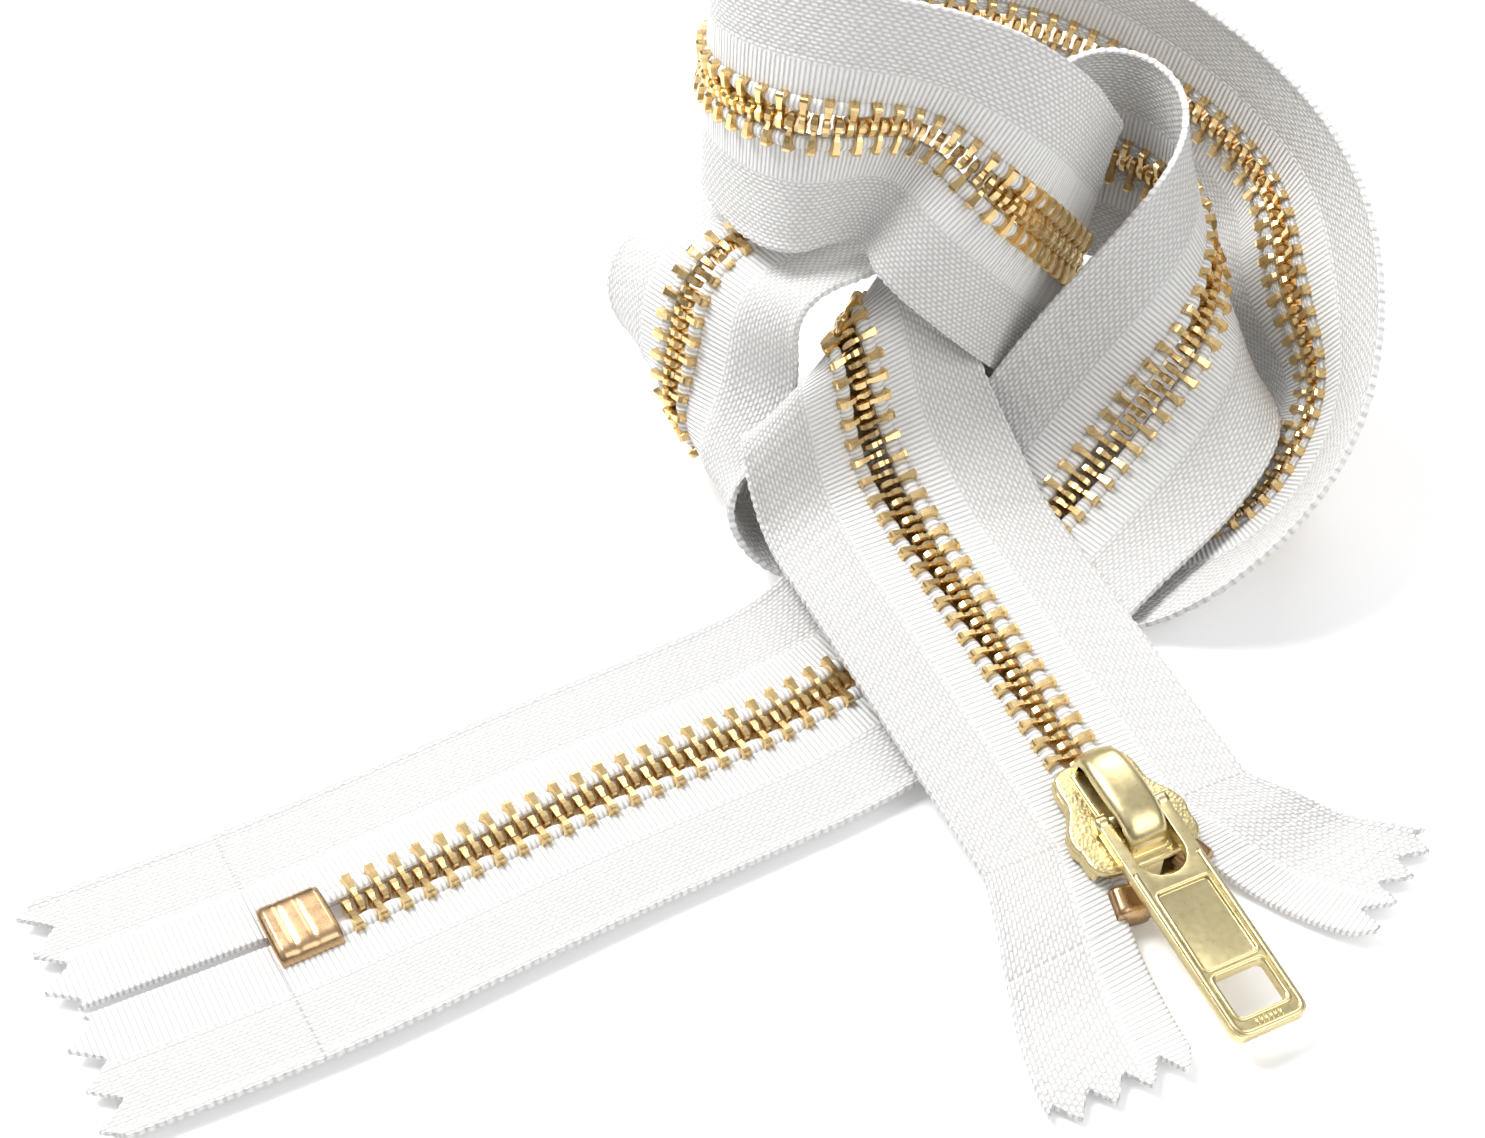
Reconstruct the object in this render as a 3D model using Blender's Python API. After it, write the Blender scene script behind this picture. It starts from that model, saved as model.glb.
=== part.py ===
"""Metal zipper in a loose coil: tapes, interlocked teeth, stops, auto-lock slider
and pull tab. It lies on the floor (z = 0) around the origin, z up. Sizes are in mm
here and metres in the scene. The tape follows one path from the tail end, low in
x and y, through the coil to the parted top end at low y and high x."""
import math

import bmesh
import bpy
import numpy as np

MM = 1000                 # millimetres in a scene metre

# ---- path --------------------------------------------------------------------
# Centre line of the chain, tail to top end. Columns: name, x, y, z, then the
# direction across the tape towards its left selvage.
STATIONS = """
tail -63 -60 1.4 0.46 -0.89 0
bstop -41 -49 1.6 0.5 -0.87 0
s1b -17 -34.5 1.6 0.5 -0.86 0
pinA 4 -22.5 1.6 0.5 -0.86 0
s1c 10 -18.7 1.6 0.52 -0.85 0
s1d 21 -8 2.2 0.55 -0.83 0
s5a 31 5 3 0.52 -0.85 -0.05
s5b 40 11 7.5 0.53 -0.7 -0.45
s5c 48 16 15 0.35 -0.2 -0.9
s45 50.5 27 20 0.2 0.15 -0.95
s4a 46 38 22.5 0.1 0.28 -0.95
s4b 38 43 23.5 0 0.3 -0.95
s4c 30.5 41 25 0 0.35 -0.93
h2 25 34 26 0 0.5 -0.85
s3a 18 26.5 25.5 0 0.75 -0.65
s3b 9.5 25.5 26.5 -0.05 0.85 -0.5
s3c 1.8 21.5 29 -0.2 0.82 -0.5
s3d -7 18 26.5 -0.35 0.8 -0.5
s3e -9.5 14 20.5 -0.4 0.75 -0.52
s3f -5 11 11 -0.1 0.84 -0.52
win 3 12 5 0.1 0.9 -0.4
u1 13 8 1.6 0 0.98 -0.1
u2 28 1 1.4 -0.1 1 0
s6a 44 -3 1.6 -0.3 0.93 -0.1
s6b 52 -2 5.5 -0.5 0.5 -0.7
s6c 58.5 4 9.5 -0.52 0.4 -0.75
s6e 61.5 12 13 -0.6 0.4 -0.7
s6g 60.5 22 17 -0.66 0.6 -0.45
s6h 59.5 30 20 -0.6 0.6 -0.55
s6i 55.5 41 23 -0.4 0.5 -0.77
s6j 48 50 25 -0.2 0.4 -0.9
b1 37 55 28 0 0.15 -0.98
b2 24 55 32 0 0.15 -0.98
b3 10 51 36 -0.05 0.15 -0.98
b4 -1 42 39 -0.1 0.15 -0.98
s2a -5 31 40 -0.12 0.2 -0.97
s2b -0.5 21.5 42 -0.1 0.2 -0.97
s2c 9 19 45 -0.05 0.18 -0.97
s2d 20 19 45 0 0.25 -0.96
s2e 27.5 17.5 40 0 0.45 -0.88
s2f 30 20 30 0 0 -1
s8a 33 25 19 0.1 -0.1 -1
s8b 36.5 29 15.5 0.1 -0.1 -1
c1 37.5 33 15 0.1 0.1 -1
c2 34.5 36 14.6 0 0.1 -1
c3 30 32 14 -0.2 0.3 -0.9
s7a 27 26 12 -0.4 0.5 -0.75
s7b 21.5 24.5 13 -0.4 0.5 -0.75
s7c 15 25 14 -0.3 0.4 -0.85
f2 11 23 13.5 -0.3 0 -0.9
fa 8.2 17.6 14 -0.45 -0.35 -0.75
fb 6.5 14 14.5 -0.5 -0.5 -0.65
fc 7 12 12.5 -0.55 -0.65 -0.5
fd 9 10 9.5 -0.65 -0.65 -0.35
fe 12 8.5 6.5 -0.75 -0.65 -0.1
ff 14.8 4.5 6.9 -0.86 -0.5 0
pinB 18 -2 6.6 -0.894 -0.446 0
fg 24.2 -14.5 5.4 -0.894 -0.446 0
fh 35.6 -37.5 3.2 -0.894 -0.446 0
end 45 -56.5 1.4 -0.894 -0.446 0
"""
HALF_W = 14.6             # tape half width, chain centre to selvage
COLUMNS = np.array([-1, -0.5, 0, 0.5, 1]) * HALF_W
ROW_SPACING = 3.0         # aimed distance between path rows
PER_ROW = 9               # contact samples per row: the columns and their midpoints

# smoothing of the station line
FINE_STEP = 0.5
SIGMA_LINE = 8            # in fine steps, as are the next two
SIGMA_RETURN = 5          # each correction back towards the stations
SIGMA_ACROSS = 12
RETURN_PASSES = 3

# Direction along which passes stack, and two axes spanning the plane square to it
STACK_DIR = np.array([0.0, -0.70711, 0.70711])
PLANE_X = np.array([1.0, 0.0, 0.0])
PLANE_Y = np.array([0.0, 0.70711, 0.70711])

# settling
TURNS = 80
EARLY_SHARE = 0.6         # share of the turns with full pull to the start shape
LATE_PULL = 0.3           # factor on the pull after that
PULL = 0.05
FIRM_TURNS = 25           # last turns, with the contact step repeated
FIRM_REPEATS = 3
SHAPE_REPEATS = 3
BENDING = ((2, 0.10), (4, 0.05))   # rows apart, stiffness
STACK_SEP = 2.0           # least distance between stacked passes
NEAR_SEP = 2.6            # least distance between any two passes
FLOOR_EDGE = 0.7          # lowest the free rows may sink
FLOOR_CHAIN = 1.6         # lowest the centre column may sink
PINNED_FLOOR = -9         # low enough never to move a pinned row
UNTANGLE_TURNS = 30
UNTANGLE_STEP = 0.35
SOFTEN = 3                # passes of row smoothing after settling


def arc_length(points):
    steps = np.linalg.norm(np.diff(points, axis=0), axis=1)
    return np.concatenate([[0], np.cumsum(steps)])


def interpolate(at, known, values):
    """Linear interpolation of vectors."""
    return np.stack([np.interp(at, known, values[:, k]) for k in range(3)], 1)


def gauss(values, sigma):
    """Gaussian smoothing, the ends padded by point reflection."""
    reach = int(3 * sigma) + 1
    weights = np.exp(-np.arange(-reach, reach + 1) ** 2 / (2 * sigma * sigma))
    weights /= weights.sum()
    padded = np.concatenate([2 * values[0] - values[reach:0:-1], values,
                             2 * values[-1] - values[-2:-reach - 2:-1]])
    out = np.zeros_like(values)
    for i, weight in enumerate(weights):
        out += weight * padded[i:i + len(values)]
    return out


def first_path():
    """Even rows along the smoothed station line: centres, directions across,
    arc lengths, and the arc length at each named station."""
    entries = [line.split() for line in STATIONS.strip().splitlines()]
    stations = np.array([[float(v) for v in e[1:4]] for e in entries])
    across = np.array([[float(v) for v in e[4:7]] for e in entries])
    across = across / np.linalg.norm(across, axis=1)[:, None]

    known = arc_length(stations)
    fine = np.linspace(0, known[-1], int(known[-1] / FINE_STEP))
    line = gauss(interpolate(fine, known, stations), SIGMA_LINE)
    for _ in range(RETURN_PASSES):
        miss = stations - interpolate(known, fine, line)
        line = gauss(line + interpolate(fine, known, miss), SIGMA_RETURN)
    across = gauss(interpolate(fine, known, across), SIGMA_ACROSS)

    length = arc_length(line)
    rows = np.linspace(0, length[-1], int(round(length[-1] / ROW_SPACING)) + 1)
    centres = interpolate(rows, length, line)
    across = interpolate(rows, length, across)
    tangents = np.gradient(centres, axis=0)
    tangents /= np.linalg.norm(tangents, axis=1)[:, None]
    across -= tangents * (across * tangents).sum(1)[:, None]
    across /= np.linalg.norm(across, axis=1)[:, None]
    station_at = dict(zip((e[0] for e in entries), np.interp(known, fine, length)))
    return centres, across, rows, station_at


# ---- contact between passes --------------------------------------------------
def samples(X):
    """Contact samples of all rows as one list of points."""
    grid = np.empty((len(X), PER_ROW, 3))
    grid[:, 0::2] = X
    grid[:, 1::2] = (X[:, 1:] + X[:, :-1]) / 2
    return grid.reshape(-1, 3)


def row_of_samples(count):
    return np.repeat(np.arange(count), PER_ROW)


def stacked_pairs(X, radius, row_gap):
    """Pairs of samples over one another, the one in the earlier row first."""
    points = samples(X)
    row = row_of_samples(len(X))
    a, b = points @ PLANE_X, points @ PLANE_Y
    over = (a[:, None] - a[None, :]) ** 2 + (b[:, None] - b[None, :]) ** 2 < radius * radius
    first, second = np.nonzero(over & ((row[None, :] - row[:, None]) > row_gap))
    return first, second, points


def squared_distances(points):
    return ((points ** 2).sum(1)[:, None] + (points ** 2).sum(1)[None, :]
            - 2 * points @ points.T)


def stack_order(X):
    """Matrix over pairs of rows: 1 where the earlier row lies on top, -1 where it
    lies below, 0 where they do not meet. One answer per connected overlap."""
    first, second, points = stacked_pairs(X, 3.0, 6)
    depth = points @ STACK_DIR
    rise = depth[first] - depth[second]
    total = len(points)
    key = first.astype(np.int64) * total + second
    order = np.argsort(key, kind="stable")
    key, first, second, rise = key[order], first[order], second[order], rise[order]

    # link each pair with the pairs one row or one sample away
    links = []
    shifts = (-PER_ROW, PER_ROW, -1, 1, 0)
    for shift_a in shifts:
        for shift_b in shifts:
            if shift_a == 0 and shift_b == 0:
                continue
            a, b = first + shift_a, second + shift_b
            ok = (a >= 0) & (a < total) & (b >= 0) & (b < total)
            if abs(shift_a) == 1:
                ok &= a // PER_ROW == first // PER_ROW
            if abs(shift_b) == 1:
                ok &= b // PER_ROW == second // PER_ROW
            want = a.astype(np.int64) * total + b
            found = np.clip(np.searchsorted(key, want), 0, len(key) - 1)
            ok &= key[found] == want
            links.append((np.nonzero(ok)[0], found[ok]))

    # each connected overlap ends up with its lowest label
    label = np.arange(len(key))
    for _ in range(400):
        old = label.copy()
        for source, target in links:
            np.minimum.at(label, source, label[target])
        label = label[label]
        if (old == label).all():
            break

    count = len(X)
    votes = np.zeros((count, count))
    for value in np.unique(label):
        m = label == value
        vote = 1.0 if np.clip(rise[m], -6, 6).sum() > 0 else -1.0
        np.add.at(votes, (first[m] // PER_ROW, second[m] // PER_ROW), vote)
    votes = np.sign(votes)

    # grow the answers into the undecided pairs around them
    for _ in range(7):
        around = np.zeros_like(votes)
        for a in (-1, 0, 1):
            for b in (-1, 0, 1):
                around += np.roll(np.roll(votes, a, 0), b, 1)
        votes = np.where(votes != 0, votes, np.sign(around))
    return votes


def keep_off_floor(X, pinned):
    X[..., 2] = np.maximum(X[..., 2], np.where(pinned[:, None], PINNED_FLOOR, FLOOR_EDGE))
    X[:, 2, 2] = np.maximum(X[:, 2, 2], FLOOR_CHAIN)


def row_average(X):
    """Inner rows averaged with their neighbours."""
    return 0.25 * X[:-2] + 0.5 * X[1:-1] + 0.25 * X[2:]


def relax(centres, across, spacing, pinned):
    """Lets the strip settle: constant length and width, stiff in bending, never
    through the floor or another pass. Returns the rows and the stack order."""
    start = centres[:, None, :] + across[:, None, :] * COLUMNS[None, :, None]
    X = start.copy()
    count, last = len(X), len(COLUMNS) - 1
    free = np.where(pinned, 0.0, 1.0)
    free3 = free[:, None, None]
    order = stack_order(start)
    row = row_of_samples(count)
    column_gap = COLUMNS[1] - COLUMNS[0]
    diagonal = (column_gap * column_gap + spacing * spacing) ** 0.5
    every = slice(0, count)

    def hold(first, second, rest, stiffness):
        """Moves two sets of points towards their rest distance."""
        d = X[second] - X[first]
        dist = np.linalg.norm(d, axis=-1, keepdims=True) + 1e-9
        free_a, free_b = free[first[0]][:, None, None], free[second[0]][:, None, None]
        move = stiffness * (dist - rest) / dist * d / (free_a + free_b + 1e-9)
        X[first] += move * free_a
        X[second] -= move * free_b

    def hold_shape():
        for parity in (0, 1):
            near, far = slice(parity, count - 1, 2), slice(parity + 1, count, 2)
            hold((near, slice(None)), (far, slice(None)), spacing, 0.9)
            for j in range(last):
                one, other = slice(j, j + 1), slice(j + 1, j + 2)
                hold((near, one), (far, other), diagonal, 0.8)
                hold((near, other), (far, one), diagonal, 0.8)
        for j in range(last):
            hold((every, slice(j, j + 1)), (every, slice(j + 1, j + 2)), column_gap, 1)
        for a, b, width in ((0, 4, 2 * HALF_W), (0, 2, HALF_W), (2, 4, HALF_W)):
            hold((every, slice(a, a + 1)), (every, slice(b, b + 1)), width, 0.5)

    def resist_bending():
        for apart, stiffness in BENDING:
            d = X[apart:] - X[:-apart]
            dist = np.linalg.norm(d, axis=-1, keepdims=True)
            move = stiffness * (dist - apart * spacing) / dist * d * 0.5
            shift = np.zeros_like(X)
            shift[:-apart] += move
            shift[apart:] -= move
            X[...] += shift * free3 * 0.5

    def push(first, second, move_first, move_second):
        """Moves samples by their mean push, carried over to the columns."""
        moves, hits = np.zeros((count * PER_ROW, 3)), np.zeros(count * PER_ROW)
        np.add.at(moves, first, move_first)
        np.add.at(moves, second, move_second)
        np.add.at(hits, first, 1)
        np.add.at(hits, second, 1)
        moves /= np.maximum(hits, 1)[:, None]
        moves = moves.reshape(count, PER_ROW, 3)
        shift = moves[:, 0::2].copy()
        shift[:, :-1] += 0.5 * moves[:, 1::2]
        shift[:, 1:] += 0.5 * moves[:, 1::2]
        X[...] += shift * free3

    def part_stacked():
        """Pushes stacked passes apart along the stack direction."""
        first, second, points = stacked_pairs(X, 2.4, 5)
        depth = points @ STACK_DIR
        s = order[row[first], row[second]]
        short = np.maximum(0, STACK_SEP - s * (depth[first] - depth[second]))
        v = np.where(s != 0, short, 0) * 0.5
        free_a, free_b = free[row[first]], free[row[second]]
        both = free_a + free_b + 1e-9
        m = v > 0
        push(first[m], second[m],
             (s * v * 2 * free_a / both)[m][:, None] * STACK_DIR,
             -(s * v * 2 * free_b / both)[m][:, None] * STACK_DIR)

    def part_near():
        """Pushes near passes apart in any direction, unless they are on the
        wrong sides of each other."""
        points = samples(X)
        near = squared_distances(points) < NEAR_SEP * NEAR_SEP
        a, b = np.nonzero(np.triu(near & (np.abs(row[:, None] - row[None, :]) > 5)))
        if not len(a):
            return
        d = points[b] - points[a]
        dist = np.linalg.norm(d, axis=1)[:, None] + 1e-6
        move = (NEAR_SEP - dist) / dist * d * 0.25
        s = order[np.minimum(row[a], row[b]), np.maximum(row[a], row[b])]
        rise = (points[a] - points[b]) @ STACK_DIR
        rise = np.where(row[a] < row[b], rise, -rise)
        ok = (s == 0) | (s * rise > 0)
        push(a[ok], b[ok], -move[ok], move[ok])

    for turn in range(TURNS):
        X += (start - X) * PULL * (1 if turn < TURNS * EARLY_SHARE else LATE_PULL) * free3
        for _ in range(SHAPE_REPEATS):
            hold_shape()
            resist_bending()
        for _ in range(FIRM_REPEATS if turn >= TURNS - FIRM_TURNS else 1):
            part_stacked()
            keep_off_floor(X, pinned)
        if turn % 2 == 0:
            part_near()
    return X, order


def crossing_rows(X):
    """Pairs of rows whose surface triangles cut each other."""
    triangles, rows = [], []
    for i in range(len(X) - 1):
        for j in range(len(COLUMNS) - 1):
            a, b, c, d = X[i, j], X[i, j + 1], X[i + 1, j + 1], X[i + 1, j]
            triangles += [(a, b, c), (a, c, d)]
            rows += [i, i]
    triangles, rows = np.array(triangles), np.array(rows)
    near = squared_distances(triangles.mean(1)) < 81
    first, second = np.nonzero(near & (rows[None, :] - rows[:, None] > 3))
    hit = np.zeros(len(first), bool)

    def edge_hits(start, end, others):
        """Whether each segment passes through its triangle."""
        corner = others[:, 0]
        d, e1, e2 = end - start, others[:, 1] - corner, others[:, 2] - corner
        h = np.cross(d, e2)
        det = (e1 * h).sum(1)
        ok = abs(det) > 1e-9
        inverse = np.where(ok, 1 / np.where(ok, det, 1), 0)
        offset = start - corner
        u = inverse * (offset * h).sum(1)
        k = np.cross(offset, e1)
        v = inverse * (d * k).sum(1)
        w = inverse * (e2 * k).sum(1)
        return ok & (u >= 0) & (v >= 0) & (u + v <= 1) & (w >= 0) & (w <= 1)

    for a, b in ((0, 1), (1, 2), (2, 0)):
        hit |= edge_hits(triangles[first, a], triangles[first, b], triangles[second])
        hit |= edge_hits(triangles[second, a], triangles[second, b], triangles[first])
    return rows[first[hit]], rows[second[hit]]


def untangle(X, order, pinned):
    """Smooths folds and parts the last touching rows along the stack direction."""
    X = X.copy()
    free = np.where(pinned, 0.0, 1.0)[:, None, None]
    index = np.arange(len(X))
    for _ in range(UNTANGLE_TURNS):
        first, second = crossing_rows(X)
        if not len(first):
            break
        smooth, lift = np.zeros(len(X)), np.zeros(len(X))
        for a, b in sorted(set(zip(first.tolist(), second.tolist()))):
            if b - a < 16:
                smooth = np.maximum(smooth, ((index > a - 3) & (index < b + 4)).astype(float))
            else:
                s = order[a, b]
                if s == 0:
                    s = 1 if ((X[a] - X[b]) @ STACK_DIR).sum() > 0 else -1
                lift += (s * np.exp(-((index - a) / 3.0) ** 2)
                         - s * np.exp(-((index - b) / 3.0) ** 2))
        lift = np.clip(lift, -1, 1) * UNTANGLE_STEP
        averaged = X.copy()
        averaged[1:-1] = row_average(X)
        X += ((averaged - X) * smooth[:, None, None] * free
              + (lift[:, None, None] * STACK_DIR) * free)
        keep_off_floor(X, pinned)
    return X


class Ribbon:
    """Smooth surface through the settled rows: point(s, u, n), with s along the
    chain from the tail end, u across towards the left selvage, n outwards from
    the face side. at[name] is s at a station."""

    def __init__(self):
        centres, across, rows, self.at = first_path()
        self.spacing = rows[1]
        pinned = (rows < self.at["pinA"]) | (rows > self.at["pinB"])
        X, order = relax(centres, across, self.spacing, pinned)
        X = untangle(X, order, pinned)
        free = np.where(pinned, 0.0, 1.0)[1:-1, None, None]
        for _ in range(SOFTEN):
            X[1:-1] += (row_average(X) - X[1:-1]) * free
        self.X, self.count = X, len(X)
        self.length = (self.count - 1) * self.spacing

    def grid(self, s, u):
        """Surface point: cubic along the rows, linear across the columns."""
        s, u = np.broadcast_arrays(np.asarray(s, float), np.asarray(u, float))
        r = np.clip(s / self.spacing, 0, self.count - 1.0001)
        i = r.astype(int)
        t = (r - i)[..., None]
        c = np.clip((u / HALF_W + 1) * 2, 0, 3.9999)
        j = c.astype(int)
        v = (c - j)[..., None]

        def row(k):
            k = np.clip(k, 0, self.count - 1)
            return self.X[k, j] * (1 - v) + self.X[k, j + 1] * v

        p0, p1, p2, p3 = row(i - 1), row(i), row(i + 1), row(i + 2)
        return 0.5 * (2 * p1 + (p2 - p0) * t + (2 * p0 - 5 * p1 + 4 * p2 - p3) * t * t
                      + (3 * p1 - 3 * p2 + p3 - p0) * t ** 3)

    def normal(self, s, u):
        ds = (self.grid(np.minimum(s + 0.4, self.length), u)
              - self.grid(np.maximum(s - 0.4, 0), u))
        du = (self.grid(s, np.minimum(u + 1.2, HALF_W))
              - self.grid(s, np.maximum(u - 1.2, -HALF_W)))
        du = du / np.linalg.norm(du, axis=-1, keepdims=True)
        normal = np.cross(du, ds)
        return normal / np.linalg.norm(normal, axis=-1, keepdims=True)

    def point(self, s, u, n):
        s, u, n = np.broadcast_arrays(*(np.asarray(v, float) for v in (s, u, n)))
        return self.grid(s, u) + self.normal(s, u) * n[..., None]


# ---- materials and mesh helpers ----------------------------------------------
# name: base colour, roughness, metallic
MATERIALS = {
    "tape_white": ((0.86, 0.86, 0.84), 0.85, 0.0),
    "teeth_brass": ((0.62, 0.42, 0.18), 0.32, 1.0),
    "slider_brass": ((0.68, 0.58, 0.33), 0.36, 1.0),
    "stop_bronze": ((0.58, 0.36, 0.17), 0.36, 1.0),
    "spring_steel": ((0.55, 0.55, 0.56), 0.3, 1.0),
}


def material(name):
    existing = bpy.data.materials.get(name)
    if existing:
        return existing
    mat = bpy.data.materials.new(name)
    mat.use_nodes = True
    colour, roughness, metallic = MATERIALS[name]
    shader = mat.node_tree.nodes["Principled BSDF"]
    shader.inputs["Base Color"].default_value = (*colour, 1)
    shader.inputs["Roughness"].default_value = roughness
    shader.inputs["Metallic"].default_value = metallic
    return mat


def tidy(mesh, weld):
    """Welds close points, triangulates and turns the faces outwards."""
    bm = bmesh.new()
    bm.from_mesh(mesh)
    bmesh.ops.remove_doubles(bm, verts=bm.verts, dist=weld)
    bmesh.ops.triangulate(bm, faces=bm.faces)
    bmesh.ops.recalc_face_normals(bm, faces=bm.faces)
    bm.to_mesh(mesh)
    bm.free()


def solid(name, body, mat, origin=(0, 0, 0)):
    """One named object from a closed body, a pair of points and faces."""
    points, faces = body
    origin = np.asarray(origin, float)
    mesh = bpy.data.meshes.new(name)
    mesh.from_pydata([tuple((np.asarray(p) - origin) / MM) for p in points], [], faces)
    tidy(mesh, weld=1e-6)
    obj = bpy.data.objects.new(name, mesh)
    obj.location = tuple(origin / MM)
    bpy.context.scene.collection.objects.link(obj)
    mesh.materials.append(material(mat))
    return obj


def carve(name, base, steps, mat, origin=(0, 0, 0)):
    """Base body put through boolean steps (operation, body), baked to one mesh."""
    obj = solid(name, base, mat, origin)
    tools = []
    for operation, body in steps:
        tool = solid(name + "_tool", body, mat, origin)
        modifier = obj.modifiers.new(operation, "BOOLEAN")
        modifier.operation = operation
        modifier.solver = "EXACT"
        modifier.object = tool
        tools.append(tool)
    bpy.context.view_layer.update()
    depsgraph = bpy.context.evaluated_depsgraph_get()
    mesh = bpy.data.meshes.new_from_object(obj.evaluated_get(depsgraph))
    obj.modifiers.clear()
    obj.data = mesh
    for tool in tools:
        bpy.data.objects.remove(tool, do_unlink=True)
    tidy(mesh, weld=2e-6)
    mesh.name = name


def slab(top, bottom):
    """Closed body between two equal grids of points (rows, columns)."""
    n, m = top.shape[:2]
    points = list(top.reshape(-1, 3)) + list(bottom.reshape(-1, 3))
    under = n * m
    faces = []
    for i in range(n - 1):
        for j in range(m - 1):
            a = i * m + j
            quad = (a, a + 1, a + m + 1, a + m)
            faces += [quad, tuple(under + k for k in reversed(quad))]
    rim = list(range(m)) + [i * m + m - 1 for i in range(1, n)]
    rim += [(n - 1) * m + j for j in range(m - 2, -1, -1)]
    rim += [i * m for i in range(n - 2, 0, -1)]
    for p, q in zip(rim, rim[1:] + rim[:1]):
        faces.append((p, under + p, under + q, q))
    return points, faces


def extrude(outline, low, high, place):
    """Closed prism: place(a, b, t) for the outline's (a, b) at t = low and high."""
    n = len(outline)
    points = [place(a, b, t) for t in (low, high) for a, b in outline]
    faces = [tuple(range(n - 1, -1, -1)), tuple(range(n, 2 * n))]
    faces += [(k, (k + 1) % n, n + (k + 1) % n, n + k) for k in range(n)]
    return points, faces


def sideways(place):
    """Takes outlines as (x, z) pairs, extruded along y."""
    return lambda x, z, y: place(x, y, z)


def rectangle(x0, x1, y0, y1):
    return [(x0, y0), (x1, y0), (x1, y1), (x0, y1)]


def arc(cx, cy, radius, start, end, steps=5):
    """Points of an arc, angles in degrees."""
    angles = [math.radians(start + (end - start) * k / steps) for k in range(steps + 1)]
    return [(cx + radius * math.cos(a), cy + radius * math.sin(a)) for a in angles]


# ---- settled coil and slider frame -------------------------------------------
for old_object in list(bpy.data.objects):
    bpy.data.objects.remove(old_object, do_unlink=True)

SIDES = {"left": 1, "right": -1}
ribbon = Ribbon()
slider_s = ribbon.at["fh"]               # slider centre along the chain
slider_centre = ribbon.point(slider_s, 0.0, 0.0)
axis_x = slider_centre - ribbon.point(slider_s - 12.0, 0.0, 0.0)
axis_x /= np.linalg.norm(axis_x)
axis_y = ribbon.point(slider_s, 5.0, 0.0) - slider_centre
axis_y -= axis_x * (axis_y @ axis_x)
axis_y /= np.linalg.norm(axis_y)
axis_z = np.cross(axis_y, axis_x)


def local(x, y, z):
    """Slider frame: x towards the top end, y to the left tape, z off the face."""
    return slider_centre + axis_x * x + axis_y * y + axis_z * z


# ---- tapes and teeth along the coil ------------------------------------------
PITCH = 2.45              # teeth pitch on one side
TOOTH_W = 0.85            # tooth width along the chain
TOOTH_T = 0.9             # half thickness of the teeth row
TOOTH_IN = -0.9           # tooth tip past the centre line
SPINE_IN, SPINE_OUT = 1.95, 3.0    # strip joining the teeth, off the centre line
END_MARGIN = 0.05         # least length of spine beyond the end teeth
TAPE_T = 0.3              # half thickness of the tape
TAPE_IN = 3.3             # inner edge of the tape, off the centre line
TAPE_IN_STOP = 4.4        # the same beside the bottom stop
TAPE_IN_CURL = 5.2        # the same in the innermost curl
TAIL_IN = 0.8             # the same on the tail
OUTER_INSET, OUTER_INSET_CURL = 0.1, 2.2   # outer edge inside the selvage line
GAP = 0.3                 # clearance between neighbouring pieces
TAIL_START = 2.0
TAIL_PINK = 1.8           # depth of the zigzag at the tail's end
STOP_CLEAR = 3.3          # from the bottom stop's centre to the pieces around it
TEETH_RUN = 22.0          # from the straight run of teeth to the slider's centre

stop_s = ribbon.at["bstop"]
main_start = stop_s - STOP_CLEAR
main_end = slider_s - 0.2
run_start = slider_s - TEETH_RUN
curl_end = ribbon.at["fd"]
curl_start = ribbon.at["s8b"] + 2        # the tape is narrowed from here
curl_teeth_end = ribbon.at["s7c"] - 4    # no teeth from here to the curl's end


def in_curl(s):
    return curl_start < s < curl_end


def main_inner_edge(s):
    if s < stop_s + STOP_CLEAR + 0.5:
        return TAPE_IN_STOP
    return TAPE_IN_CURL if in_curl(s) else TAPE_IN


def tape(name, side, start, end, inner_edge, step=3.0, columns=3, pink=0.0):
    """Strip of tape; pink is the depth of the zigzag at its start."""
    top, bottom = [], []
    rows = np.linspace(start, end, max(2, int(round((end - start) / step)) + 1))
    for i, row in enumerate(rows):
        inset = OUTER_INSET_CURL if in_curl(row) else OUTER_INSET
        u = np.linspace(inner_edge(row), HALF_W - inset, columns)
        s = np.full(columns, row)
        if i == 0:
            s = s + np.where(np.arange(columns) % 2 == 0, pink, 0.0)
        top.append(ribbon.point(s, side * u, TAPE_T))
        bottom.append(ribbon.point(s, side * u, -TAPE_T))
    solid(name, slab(np.array(top), np.array(bottom)), "tape_white")


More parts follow.
